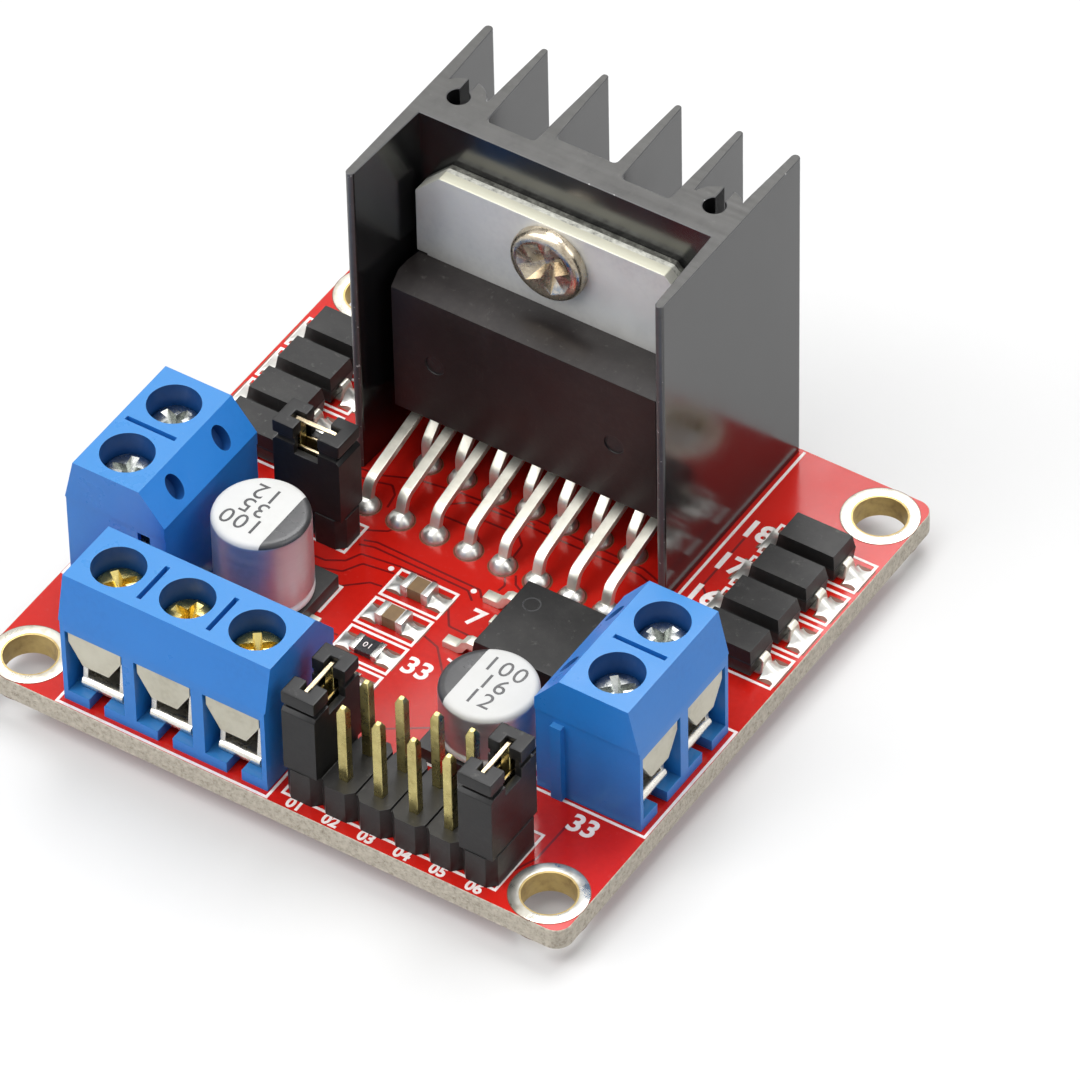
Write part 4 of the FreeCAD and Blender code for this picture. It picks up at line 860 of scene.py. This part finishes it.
# fixing screw: low pan head with a raised rim and a wide, worn cross recess
screw = {
    "seat": (0.2, 10.9, 20.6), "mouth": (0.2, 10.04, 20.6),
    "cross": (2.0, 0.56, 0.85),   # reach, half width, depth
    "head": [(0, 0.94), (1.2, 0.93), (2.05, 0.9), (2.34, 0.85), (2.5, 0.76), (2.6, 0.62), (2.65, 0.44),
             (2.66, 0.3), (2.66, 0.2), (2.66, 0.07), (2.6, 0), (1.48, 0), (1.48, -4.04), (0, -4.04)],
    "nickel": finish("screwNickel", (0.68, 0.6, 0.47), (0.3, 0.24, 0.17), 700, (0.16, 0.36, 1300),
            (1100, 0.03), amount=1.0, metal=1.0, nicks=(900, 0.3), nickTint=(0.2, 0.17, 0.13)),
}


# the two bars of a cross recess, wide at the mouth and narrow below
def crossBars(spot, way, reach, half, depth):
    bars = []
    seat = Matrix.Translation(spot) @ Vector(way).to_track_quat("Z", "Y").to_matrix().to_4x4()
    for step in (1, -1):   # the second bar has its two half sizes the other way round
        bar = bmesh.new()
        mouth = rectangle(*(reach * 1.2, half * 1.35)[::step])
        floor = rectangle(*(reach * 0.3, half * 0.3)[::step])
        addSkin(bar, [[(x, y, level) for x, y in sides] for level, sides in ((0.4, mouth), (-depth, floor))])
        bar.transform(seat @ Matrix.Rotation(math.radians(32), 4, "Z"))
        bars.append(bar)
    return bars


def buildScrew():
    mesh = bmesh.new()
    addLathe(mesh, screw["head"], screw["seat"], 72, forward=True)
    mesh = cutWith(mesh, crossBars(screw["mouth"], (0, -1, 0), *screw["cross"]))
    hang("chipScrew", mesh, screw["nickel"], "chip_screw", sharp=38)


buildChip()
buildScrew()
print("stage: chip and its screw")

# screw terminals: blue moulding, nickel contact with its flap, rising cage and clamp screw for each pole
terminal = {
    "seats": {"power": (3, -12.67, -21.0, 0), "left": (2, -21.0, -4.32, -90), "right": (2, 21.0, -9.4, 90)},
    "pitch": 5.08, "height": 10.0, "wellY": 3.12, "well": 1.77,
    "soft": 0.07, "cageSoft": 0.1, "contactSoft": 0.05,
    "slope": Vector((0, 6.59, 8.875)), "slopeOut": Vector((0, 2.25, 1.82)),
    "slopeDown": Vector((0, 1.82, -2.25)),
    "marker": 0.275, "slimMarker": 0.17, "markerEnd": 1.6, "longMarker": 1.86, "probe": (0.62, 0.9),
    "cageFront": 1.12, "lipFront": 0.78, "lipTop": 1.42,
    "bar": {"y": 1.02, "z": 1.32, "radius": 0.42, "half": 1.5},
    "head": [(0, -1.36), (0.8, -1.37), (1.25, -1.43), (1.5, -1.56), (1.62, -1.76), (1.65, -1.95),
             (1.65, -3.1), (1.6, -3.15), (1.1, -3.15), (1.1, -4.45), (0, -4.45)],
    "cross": (1.3, 0.27, 0.75), "turns": (20, 55, 5, 38, 70, 12, 48),
    # the up-facing tint of this moulding is painted light: the top is drawn paler than the sides
    "moulding": finish("terminalBlue", (0.016, 0.168, 0.52), (0.011, 0.132, 0.435), 160, (0.26, 0.38, 300),
            (3600, 0.004), rimTint=(0.028, 0.175, 0.445), ior=1.42, dust=0.04, soft=0.05),
    # the darker blue below is painted shade, for the walls of the wells and test holes
    "deep": finish("terminalPaintedShade", (0.006, 0.06, 0.22), (0.004, 0.045, 0.17), 160, (0.4, 0.55, 300),
            (3600, 0.004), ior=1.4),
    "contact": finish("contactNickel", (0.54, 0.52, 0.43), (0.38, 0.35, 0.27), 380, (0.3, 0.46, 700),
            (1800, 0.012), amount=0.8, metal=0.85, scratches=(1.0, 0.3)),
    "cage": finish("cageNickel", (0.8, 0.78, 0.72), (0.5, 0.46, 0.38), 600, (0.2, 0.34, 900), (2200, 0.004),
            amount=0.7, metal=0.96),
    "zinc": finish("clampZinc", (0.56, 0.58, 0.56), (0.3, 0.31, 0.28), 700, (0.16, 0.34, 1500), (1500, 0.02),
            amount=0.9, metal=1.0),
    "yellow": finish("clampYellow", (0.74, 0.6, 0.22), (0.42, 0.33, 0.1), 700, (0.16, 0.34, 1500),
            (1500, 0.02), amount=0.9, metal=1.0),
}
t = SimpleNamespace(**terminal)


# from a pole's own frame (across, inward from the front face, up from the board) to the board's
def poleSeat(side, pole=0):
    _, x, y, turn = t.seats[side]
    along = Matrix.Rotation(math.radians(turn), 4, "Z")
    return Matrix.Translation((x, y, boardTop)) @ along @ Matrix.Translation((pole * t.pitch, 0, 0))


# the housing, with its marker slots drawn to the width seen and its test holes made round
def housingMesh(side):
    poles = t.seats[side][0]
    mesh = solidOf(side + "_terminal_housing")
    mesh.transform(poleSeat(side).inverted())
    for vert in mesh.verts:   # the tongue stands at the left of the wire side, the groove at its right
        vert.co.x = (poles - 1) * t.pitch - vert.co.x
        for i in range(poles - 1):
            middle = (i + 0.5) * t.pitch
            off, run = vert.co.x - middle, vert.co.y - t.wellY
            atEnd = abs(abs(off) - t.marker) < 0.01 and abs(abs(run) - t.markerEnd) < 0.01
            if atEnd and vert.co.z > t.height - 1:
                vert.co.x = middle + math.copysign(t.slimMarker, off)
                if poles == 2:
                    vert.co.y = t.wellY + math.copysign(t.longMarker, run)
    lean = Matrix.Rotation(-math.atan2(t.slopeOut.y, t.slopeOut.z), 4, "X")
    lean = lean @ Matrix.Diagonal((*t.probe, 1, 1))
    drills = []
    for i in range(poles):
        drill = bmesh.new()
        addLathe(drill, [(0, -0.9), (1, -0.9), (1, 1.5), (0, 1.5)], steps=40)
        drill.transform(Matrix.Translation(t.slope + Vector((i * t.pitch, 0, 0))) @ lean)
        drills.append(drill)
    mesh = cutWith(mesh, drills)
    softenEdges(mesh, t.soft)
    mesh.transform(poleSeat(side))
    return mesh


# the walls of the screw wells and test holes are painted a darker blue: painted shade in the recesses
def shadeWells(mesh, side):
    mesh.normal_update()
    back = poleSeat(side).inverted()
    out, down = t.slopeOut.normalized(), t.slopeDown.normalized()
    for face in mesh.faces:
        spot, way = back @ face.calc_center_median(), back.to_3x3() @ face.normal
        spot.x = (spot.x + t.pitch / 2) % t.pitch - t.pitch / 2
        off = spot - t.slope
        inWell = math.hypot(spot.x, spot.y - t.wellY) < t.well and abs(way.z) < 0.3 and spot.z > 4
        inside = abs(off.x) < t.probe[0] + 0.05 and abs(off.dot(down)) < t.probe[1] + 0.05
        if inWell or inside and -2.4 < off.dot(out) < -0.1:
            face.material_index = 1


# the cage, its floor drawn forward into a lip with a rolled bar
def cageMesh(side, pole):
    mesh = solidOf("%s_clamp_cage_%d" % (side, pole + 1))
    mesh.transform(poleSeat(side, pole).inverted())
    for vert in mesh.verts:
        if abs(vert.co.y - t.cageFront) < 0.01 and vert.co.z < t.lipTop:
            vert.co.y = t.lipFront
    softenEdges(mesh, t.cageSoft, 3)
    b = SimpleNamespace(**t.bar)
    bar = bmesh.new()
    addPrism(bar, arc(b.y, b.z, b.radius, 0, 2 * math.pi, 20)[:-1], -b.half, b.half, "yzx")
    softenEdges(bar, 0.08, 2, 50)
    joinInto(mesh, bar)
    mesh.transform(poleSeat(side, pole))
    return mesh


def clampScrewMesh(side, pole, turn):
    mesh = bmesh.new()
    addLathe(mesh, t.head, steps=40)
    mesh = cutWith(mesh, crossBars((0, 0, t.head[0][1] - 0.06), (0, 0, 1), *t.cross))
    mesh.transform(poleSeat(side, pole) @ Matrix.Translation((0, t.wellY, t.height))
                   @ Matrix.Rotation(math.radians(turn), 4, "Z"))
    return mesh


turns = iter(t.turns)
for side in t.seats:
    housing = housingMesh(side)
    shadeWells(housing, side)
    hang(side + "TerminalMoulding", housing, [t.moulding, t.deep], side + "_terminal_housing")
    dress(side + "_terminal_contacts", t.contact, t.contactSoft)
    for pole in range(t.seats[side][0]):
        number = (side, pole + 1)
        hang("%sClampScrew%d" % number, clampScrewMesh(side, pole, next(turns)),
             t.yellow if side == "power" else t.zinc, "%s_clamp_screw_%d" % number, sharp=38)
        hang("%sClampCage%d" % number, cageMesh(side, pole), t.cage, "%s_clamp_cage_%d" % number)
print("stage: terminals")

# pin headers: black block with a fine groove between one pair of pins and the next, square gold pins
header = {
    "rows": {"control": (2.17, -18.16, 6), "supply": (-11.42, -0.2, 2)},   # x and y of the first, columns
    "pitch": 2.54, "groove": 0.08, "depth": 0.22, "soft": 0.05, "pinSoft": 0.035,
    "block": finish("headerBlack", (0.011, 0.0105, 0.0105), (0.024, 0.023, 0.0225), 300, (0.34, 0.5, 500),
            (4200, 0.006), amount=0.8, ior=1.36, dust=0.08),
    "pin": finish("pinGold", (0.56, 0.48, 0.2), (0.34, 0.28, 0.1), 900, (0.2, 0.36, 1300), (2600, 0.006),
            amount=0.9, metal=1.0),
}


def buildHeaders():
    h = SimpleNamespace(**header)
    for name, (x, y, columns) in h.rows.items():
        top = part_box(name + "_header_block")[1][2] * 1000
        middles = [x + (i + 0.5) * h.pitch for i in range(columns - 1)]
        grooves = [boxMesh((middle - h.groove, y - 3, top - h.depth), (middle + h.groove, y + 3, top + 1))
                   for middle in middles]
        block = cutWith(solidOf(name + "_header_block"), grooves)
        softenEdges(block, h.soft)
        hang(name + "HeaderBlock", block, h.block, name + "_header_block")
        dress(name + "_header_pins", h.pin, h.pinSoft, 1)


# jumper caps: a body with shoulders, two lobes, and a brass clip that shows in the gap between them
jumper = {
    "wide": 2.42, "long": 4.95, "low": 4.1, "high": 10.6, "shoulder": 9.2, "slope": (0.22, 0.25),
    "lobeLow": 9.62, "neckIn": (0.16, 0.34), "gap": 1.75, "slot": (0.31, 1.65), "hollow": (0.85, 1.875), 
    "window": (0.72, 1.95), "soft": 0.09, "lobeSoft": 0.12,
    "strip": 0.15, "stripHalf": 1.6, "stripHigh": 10.28, "stripThick": 0.16, "clipTop": 8.6,
    "spots": {"left_enable": (2.17, -18.16, 0), "right_enable": (14.87, -18.16, 0),
              "supply": (-10.15, -0.2, 90)},
    "cap": finish("capBlack", (0.007, 0.007, 0.0075), (0.016, 0.0155, 0.0155), 200, (0.3, 0.44, 420),
            (3600, 0.006), amount=0.8, ior=1.36, dust=0.08),
    "clip": finish("clipBrass", (0.6, 0.5, 0.34), (0.36, 0.27, 0.15), 900, (0.2, 0.34, 1100), (2600, 0.006),
            amount=0.8, metal=1.0),
}
j = SimpleNamespace(**jumper)


# a box about the jumper's own middle, for cutting
def middleBox(half, low, high):
    return boxMesh((-half[0], -half[1], low), (half[0], half[1], high))


# two boxes, one each side of the gap
def addPair(mesh, half, near, far, low, high):
    addBox(mesh, (-half, -far, low), (half, -near, high))
    addBox(mesh, (-half, near, low), (half, far, high))


def shellMesh():
    w, l, gap, top = j.wide / 2, j.long / 2, j.gap / 2, j.shoulder
    inward, down = j.slope
    body, neck, lobes = bmesh.new(), bmesh.new(), bmesh.new()
    sides = [(-l, j.low), (l, j.low), (l, top - down), (l - inward, top), (inward - l, top), (-l, top - down)]
    addPrism(body, sides, -w, w, "yzx")
    body = cutWith(body, [middleBox(j.hollow, j.low - 1, j.high - 2.4),
                          middleBox((w + 1, gap), top - 0.75, top + 1),
                          middleBox(j.window, j.high - 2.6, top + 1)])
    softenEdges(body, j.soft)
    addPair(neck, w - j.neckIn[0], gap + 0.02, l - j.neckIn[1], top - 0.3, j.lobeLow + 0.3)
    addPair(lobes, w, gap, l, j.lobeLow, j.high)
    lobes = cutWith(lobes, [middleBox(j.slot, top - 1, j.high + 1)])
    softenEdges(lobes, j.lobeSoft)
    joinInto(body, cutWith(neck, [middleBox(j.window, top - 1, j.high)]))
    joinInto(body, lobes)
    return body


# the clip's legs from the node, and a strip that crowns them
def clipMesh(node, seat):
    clip = solidOf(node)
    clip.transform(seat.inverted())
    bmesh.ops.bisect_plane(clip, geom=clip.verts[:] + clip.edges[:] + clip.faces[:],
                           plane_co=(0, 0, j.clipTop), plane_no=(0, 0, 1), clear_outer=True)
    bmesh.ops.holes_fill(clip, edges=[e for e in clip.edges if len(e.link_faces) == 1])
    foot, half = j.clipTop - 0.4, j.stripHalf
    crown = roundedPath([(-half, foot), (-half, j.stripHigh), (half, j.stripHigh), (half, foot)], 0.25, 4)
    addPrism(clip, stripOutline(crown, j.stripThick), -j.strip, j.strip, "yzx")
    bmesh.ops.recalc_face_normals(clip, faces=clip.faces)
    softenEdges(clip, 0.03, 1)
    return clip


buildHeaders()
for name, (x, y, turn) in j.spots.items():
    seat = Matrix.Translation((x, y, 0)) @ Matrix.Rotation(math.radians(turn), 4, "Z")
    shell, clip = shellMesh(), clipMesh(name + "_jumper_clip", seat)
    shell.transform(seat)
    clip.transform(seat)
    hang(name + "JumperShell", shell, j.cap, name + "_jumper_cap")
    hang(name + "JumperBrass", clip, j.clip, name + "_jumper_clip")
print("stage: headers and jumpers")

# can capacitors: pressed can with a printed lid, moulded base, tinned tabs
can = {
    "radius": 3.15, "low": boardTop + 1.1, "neck": boardTop + 1.78, "lid": 0.33,
    "baseSoft": 0.07, "tabSoft": 0.03,
    # rows of (inset, height), the foot's from the low end up, the crown's from the top down
    "foot": [(3.15, 0), (0.35, 0), (0.12, 0.05), (0.02, 0.16), (0, 0.26), (0, 0.5), (0.05, 0.6), (0.1, 0.7),
             (0.05, 0.8), (0, 0.9)],
    "crown": [(0, 0.46), (0.02, 0.32), (0.08, 0.18), (0.19, 0.07), (0.34, 0.02), (0.5, 0.01), (3.15, 0.01)],
    "numerals": {"size": 1.8, "bold": 0.004, "spacing": 1.14},
    "supply": {"x": -9.42, "y": -7.39, "top": 9.3, "chord": -7.83, "side": 1, "turn": 180,
               "lines": [("100", -9.98, -8.7), ("35", -9.95, -7.3), ("12", -9.9, -5.9)]},
    "logic": {"x": 9.27, "y": -10.5, "top": 7.0, "chord": 7.67, "side": -1, "turn": 0,
              "lines": [("100", 9.55, -9.05), ("16", 9.6, -10.5), ("12", 9.5, -11.95)]},
    "metal": finish("canMetal", (0.58, 0.58, 0.63), (0.44, 0.44, 0.48), 300, metal=0.9,
            lines=("linesFlat", 0.34, 0.48, 0.0006)),
    # the pale dull finish below is a painted highlight: the can's rolled foot drawn so that it shows as a
    # bright ring
    "lip": finish("canFootPaintedHighlight", (0.8, 0.8, 0.8), (0.66, 0.66, 0.66), 300, (0.3, 0.4, 500), (2600, 0.003),
            metal=0.2),
    "white": finish("canWhite", (0.49, 0.49, 0.48), (0.44, 0.44, 0.42), 400, (0.5, 0.64, 500), (2600, 0.003),
            dust=0.04),
    "base": finish("canBase", (0.018, 0.017, 0.017), (0.034, 0.032, 0.03), 300, (0.36, 0.52, 500),
            (4200, 0.008), amount=0.8, ior=1.45, dust=0.08),
}


def buildCan(name):
    c = SimpleNamespace(**can, **can[name])
    mesh = bmesh.new()
    addLathe(mesh, [(c.radius - inset, c.low + z) for inset, z in c.foot]
             + [(c.radius - inset, c.top - z) for inset, z in c.crown], (c.x, c.y, 0), 96)
    bmesh.ops.bisect_plane(mesh, geom=mesh.verts[:] + mesh.edges[:] + mesh.faces[:], plane_co=(c.chord, 0, 0),
                           plane_no=(1, 0, 0))
    for face in mesh.faces:
        spot = face.calc_center_median()
        if spot.z > c.top - c.lid:
            face.material_index = 2 if (spot.x - c.chord) * c.side > 0 else 1
        # faces below the neck take the painted highlight of the foot
        elif spot.z < c.neck:
            face.material_index = 3
    looks = [c.metal, c.white, shared["dark"], c.lip]
    hang(name + "CanShell", mesh, looks, name + "_capacitor_can", sharp=60)
    marks = bmesh.new()
    for text, x, y in c.lines:
        addNumerals(marks, text, turn=c.turn, spot=(x, y), low=c.top - 0.03, high=c.top - 0.003, **c.numerals)
    hang(name + "CanNumerals", marks, shared["dark"])
    dress(name + "_capacitor_base", c.base, c.baseSoft)
    dress(name + "_capacitor_tabs", shared["tin"], c.tabSoft, 1)


buildCan("supply")
buildCan("logic")
print("stage: capacitors")

# moulded diodes and regulator, chip parts, and the solder that holds them
small = {
    "parting": 0.52,   # the parting line's share of a diode body's height
    "leadNarrow": 0.56, "footNarrow": 0.85, "footHigh": 0.35,
    "bodySoft": 0.08, "leadSoft": 0.16, "soft": 0.05,
    "ring": [(0.5, 3.88), (0.52, 3.906), (0.6, 3.906), (0.62, 3.88)], "ringSpot": (6.1, -0.9, 0),
    "value": {"text": "10", "size": 0.62, "spot": (-1.55, -7.71), "turn": 180, "spacing": 1.1},
    "waist": 0.22, "hollow": 0.07, "steps": 12, "pad": 0.12,
    "moulded": finish("diodeBlack", (0.01, 0.0098, 0.0098), (0.02, 0.019, 0.018), 200, (0.32, 0.46, 400),
            (3600, 0.008), amount=0.8, ior=1.36, dust=0.1, scratches=(1.0, 0.12),
            scratchTint=(0.12, 0.12, 0.11)),
    "ceramic": finish("ceramicTan", (0.19, 0.115, 0.05), (0.12, 0.07, 0.03), 900, (0.28, 0.42, 900),
            (3200, 0.006), amount=0.8, ends=(-1.55, 0.5)),
    "resistor": finish("resistorBlack", (0.014, 0.014, 0.017), (0.03, 0.03, 0.034), 700, (0.16, 0.3, 900),
            (3200, 0.004), amount=0.7, ends=(-1.55, 0.6)),
    "lamp": finish("lampMilk", (0.66, 0.62, 0.5), (0.5, 0.43, 0.3), 900, (0.14, 0.26, 900), (2400, 0.003),
            ends=(-1.55, 0.6)),
}


# diode bodies drafted both ways from a parting line, and leads that come down as rounded thumbs
def buildDiodes(side):
    bodies = bmesh.new()
    for low, high, _ in solidBoxes(side + "_diode_bodies"):
        (x0, y0, z0), (x1, y1, z1) = low, high
        line = z0 + small["parting"] * (z1 - z0)
        addSkin(bodies, [[((x0 + x1) / 2 + u, (y0 + y1) / 2 + v, z)
                          for u, v in rectangle((x1 - x0) / 2 - inX, (y1 - y0) / 2 - inY)]
                         for z, inX, inY in ((z0, 0.12, 0.1), (line - 0.05, 0.01, 0), (line, 0, 0),
                                             (line + 0.05, 0.03, 0.04), (z1, 0.16, 0.17))])
    bmesh.ops.recalc_face_normals(bodies, faces=bodies.faces)
    softenEdges(bodies, small["bodySoft"], 2, 20)
    hang(side + "DiodeBodies", bodies, small["moulded"], side + "_diode_bodies", sharp=25)
    leads = solidOf(side + "_diode_leads")
    boxes = solidBoxes(side + "_diode_leads")
    for vert in leads.verts:
        gaps = [sum(max(low[i] - vert.co[i], 0, vert.co[i] - high[i]) for i in range(3))
                for low, high, _ in boxes]
        low, high, _ = boxes[gaps.index(min(gaps))]
        middle = (low[1] + high[1]) / 2
        narrow = small["leadNarrow"] if vert.co.z > boardTop + small["footHigh"] else small["footNarrow"]
        vert.co.y = middle + (vert.co.y - middle) * narrow
    softenEdges(leads, small["leadSoft"], 4)
    hang(side + "DiodeLeads", leads, shared["tin"], side + "_diode_leads", sharp=50)


def buildSmallParts():
    dress("regulator_body", small["moulded"], 0.08)
    dress("regulator_tab", shared["tin"], small["soft"])
    dress("regulator_leads", shared["tin"], small["soft"])
    buildDiodes("left")
    buildDiodes("right")
    dress("ceramic_capacitors", small["ceramic"], small["soft"])
    dress("chip_resistor", small["resistor"], 0.04)
    dress("indicator_lamp", small["lamp"], small["soft"])
    ring, value = bmesh.new(), bmesh.new()   # ejector mark on the regulator and the value on the resistor
    addLathe(ring, small["ring"], small["ringSpot"], 40)
    hang("regulatorMark", ring, shared["dark"])
    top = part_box("chip_resistor")[1][2] * 1000
    addNumerals(value, low=top - 0.02, high=top - 0.002, **small["value"])
    hang("resistorNumerals", value, shared["print"])


# a solder pillow on a pad: high against the part, hollow on its way out, and drawn to the pad's corners
def addPillow(mesh, low, high, crest):
    middle, size = [(low[i] + high[i]) / 2 for i in (0, 1)], [high[i] - low[i] for i in (0, 1)]
    lean = [(crest[i] - middle[i]) / size[i] for i in (0, 1)]
    out = 0 if abs(lean[0]) > abs(lean[1]) else 1   # the axis that runs out from the part
    way, steps = math.copysign(1, lean[out]), small["steps"]
    grid = []
    for i in range(steps + 1):
        row = []
        for k in range(steps + 1):
            u, v = i / steps, k / steps * 2 - 1     # u runs out from the part, v across
            waist = 1 - small["waist"] * math.sin(math.pi * min(1, u * 1.1))
            spine = 0.6 * (1 - u) ** 1.6 * math.exp(-(v / 0.5) ** 2)
            spine += (0.26 * (1 - u) ** 2 + 0.16) * (1 - v * v)
            spot = [0, 0, boardTop + 0.03 + (high[2] - boardTop) * spine * (1 - v ** 4) * (1 - u ** 5)]
            spot[out] = middle[out] + way * size[out] * (0.5 - u * (1 - small["hollow"] * (1 - v * v)))
            spot[1 - out] = middle[1 - out] + v * size[1 - out] / 2 * waist
            row.append(mesh.verts.new(spot))
        grid.append(row)
    for one, two in zip(grid, grid[1:]):
        for k in range(steps):
            mesh.faces.new((one[k], two[k], two[k + 1], one[k + 1]))
    rim = grid[0] + [row[-1] for row in grid[1:]] + grid[-1][-2::-1] + [row[0] for row in grid[-2:0:-1]]
    foot = [mesh.verts.new((v.co.x, v.co.y, boardTop - 0.01)) for v in rim]
    for i in range(len(rim)):
        mesh.faces.new((rim[i - 1], rim[i], foot[i], foot[i - 1]))


def buildSurfaceSolder():
    pillows, pads = bmesh.new(), bmesh.new()
    more = small["pad"]
    for low, high, crest in solidBoxes("surface_solder"):
        addPillow(pillows, low, high, crest)
        addBox(pads, (low[0] - more, low[1] - more, boardTop - 0.01),
               (high[0] + more, high[1] + more, boardTop + 0.014))
    hang("surfaceSolder", pillows, shared["solder"], "surface_solder", sharp=60)
    hang("surfacePads", pads, shared["bare"])


# solder cones under the board, one at each tail: radius, radius of what it climbs, and the places
tails = {
    "deep": 0.95, "steps": 28,
    "leads": (0.85, 0.38, leadSpots("front") + leadSpots("rear")),
    "headers": (0.85, 0.38, [(2.17 + header["pitch"] * i, y) for i in range(6) for y in (-19.43, -16.89)]
                + [(-11.42, -0.2), (-8.88, -0.2)]),
    "contacts": (1.25, 0.6, [(-12.67 + t.pitch * i, -15.3) for i in range(3)]
                 + [(x, y) for x in (-15.3, 15.3) for y in (-9.4, -4.32)]),
    "sinkPins": (1.9, 0.97, [(sink["x"] + side * sink["bossX"], sink["face"] + sink["bossY"])
                             for side in (-1, 1)]),
}


def buildUnderside():
    mesh, rings = bmesh.new(), bmesh.new()
    deep = tails["deep"]
    for kind in ("leads", "headers", "contacts", "sinkPins"):
        reach, inner, spots = tails[kind]
        slope = reach - inner
        cone = [(0, -deep), (inner, -deep), (inner + slope * 0.2, -deep * 0.7),
                (inner + slope * 0.5, -deep * 0.34), (reach * 0.94, -0.07), (reach, -0.02), (reach, 0)]
        gap = [(reach - 0.1, 0.01), (reach - 0.1, -0.012), (reach + 0.14, -0.012), (reach + 0.14, 0.01)]
        for x, y in spots:
            addLathe(mesh, cone, (x, y, 0), tails["steps"])
            addLathe(rings, gap, (x, y, 0), tails["steps"])
    hang("undersideSolder", mesh, shared["solder"], "underside_solder", sharp=60)
    hang("undersidePadGaps", rings, shared["bare"])


buildSmallParts()
buildSurfaceSolder()
buildUnderside()
print("stage: small parts and solder")

stage = {
    "half": 3.0, "tint": (0.56, 0.56, 0.56), "rough": 0.6, "glow": 0.15, "light": 0.31, "seen": 1.0,
    "lamps": {   # azimuth, elevation, distance, size, watts
        "keyLeft": (-30, 68, 0.45, 0.3, 1.36), "fillRight": (100, 38, 0.5, 0.35, 0.8),
        "frontLeft": (-45, 30, 0.5, 0.35, 1.2), "backTop": (188, 62, 0.45, 0.3, 1.72)},
}
view = {"azimuth": 33.78873, "elevation": 44.7219, "roll": -1.26486, "far": 0.60942188, "focal": 9925.1534,
        "target": (0.0057665529, 0.0006579151, 0.008), "frame": 1080, "sensor": 36.0}


# the direction from the object to a lamp or the camera; an azimuth of 0 is the front
def towards(azimuth, elevation):
    a, e = math.radians(azimuth), math.radians(elevation)
    return Vector((math.sin(a) * math.cos(e), -math.cos(a) * math.cos(e), math.sin(e)))


# one shader, and another for the rays of the camera and those that metal and clear pieces send on
def seenAs(tree, plain, seen, share, output):
    path = add(tree, "LightPath").outputs
    sent = combine(tree, path["Is Glossy Ray"], path["Is Transmission Ray"], "ADD")
    mask = combine(tree, combine(tree, path["Is Camera Ray"], sent, "ADD"), share)
    mixed = add(tree, "MixShader")
    for number, source in enumerate((mask, plain.outputs[0], seen.outputs[0])):
        feed(tree, mixed.inputs[number], source)
    feed(tree, tree.nodes[output].inputs["Surface"], mixed.outputs[0])


def buildFloor():
    mesh = bmesh.new()
    low = cadBox[0][2] - 0.00002
    mesh.faces.new([mesh.verts.new((x, y, low)) for x, y in rectangle(stage["half"], stage["half"])])
    piece = asObject(mesh, "paleFloor")
    material = bpy.data.materials.new("floorWhite")
    material.use_nodes = True
    tree = material.node_tree
    shader = tree.nodes["Principled BSDF"]
    feed(tree, shader.inputs["Base Color"], stage["tint"])
    shader.inputs["Roughness"].default_value = stage["rough"]
    glow = add(tree, "Emission")
    glow.inputs["Strength"].default_value = stage["seen"]
    seenAs(tree, shader, glow, stage["glow"], "Material Output")
    piece.data.materials.append(material)


def buildRoom():
    world = bpy.data.worlds.new("studio")
    bpy.context.scene.world = world
    world.use_nodes = True
    tree = world.node_tree
    soft, seen = tree.nodes["Background"], add(tree, "Background")
    for shader, strength in ((soft, stage["light"]), (seen, stage["seen"])):
        feed(tree, shader.inputs["Color"], (1, 1, 1))
        shader.inputs["Strength"].default_value = strength
    seenAs(tree, soft, seen, 1.0, "World Output")


def buildLamps():
    for name, (azimuth, elevation, far, size, watts) in stage["lamps"].items():
        data = bpy.data.lights.new(name, "AREA")
        data.shape, data.size, data.energy = "SQUARE", size, watts
        piece = bpy.data.objects.new(name, data)
        bpy.context.scene.collection.objects.link(piece)
        away = towards(azimuth, elevation)
        piece.location = away * far + Vector((0, 0, view["target"][2]))
        piece.rotation_euler = away.to_track_quat("Z", "Y").to_euler()


def buildCamera():
    back = towards(view["azimuth"], view["elevation"])
    right = (-back).cross(Vector((0, 0, 1))).normalized()
    down = (-back).cross(right)
    c, s = math.cos(math.radians(view["roll"])), math.sin(math.radians(view["roll"]))
    right, down = right * c - down * s, right * s + down * c
    data = bpy.data.cameras.new("photoView")
    data.sensor_fit, data.sensor_width = "HORIZONTAL", view["sensor"]
    data.lens = view["focal"] / view["frame"] * view["sensor"]
    data.clip_start, data.clip_end = 0.01, 20.0
    camera = bpy.data.objects.new("photoView", data)
    bpy.context.scene.collection.objects.link(camera)
    spot = Vector(view["target"]) + back * view["far"]
    camera.matrix_world = Matrix([(right[i], -down[i], back[i], spot[i]) for i in range(3)] + [(0, 0, 0, 1)])
    bpy.context.scene.camera = camera


buildFloor()
buildRoom()
buildLamps()
buildCamera()
bpy.context.scene.view_settings.view_transform = "Standard"
print("stage: floor, light and camera")
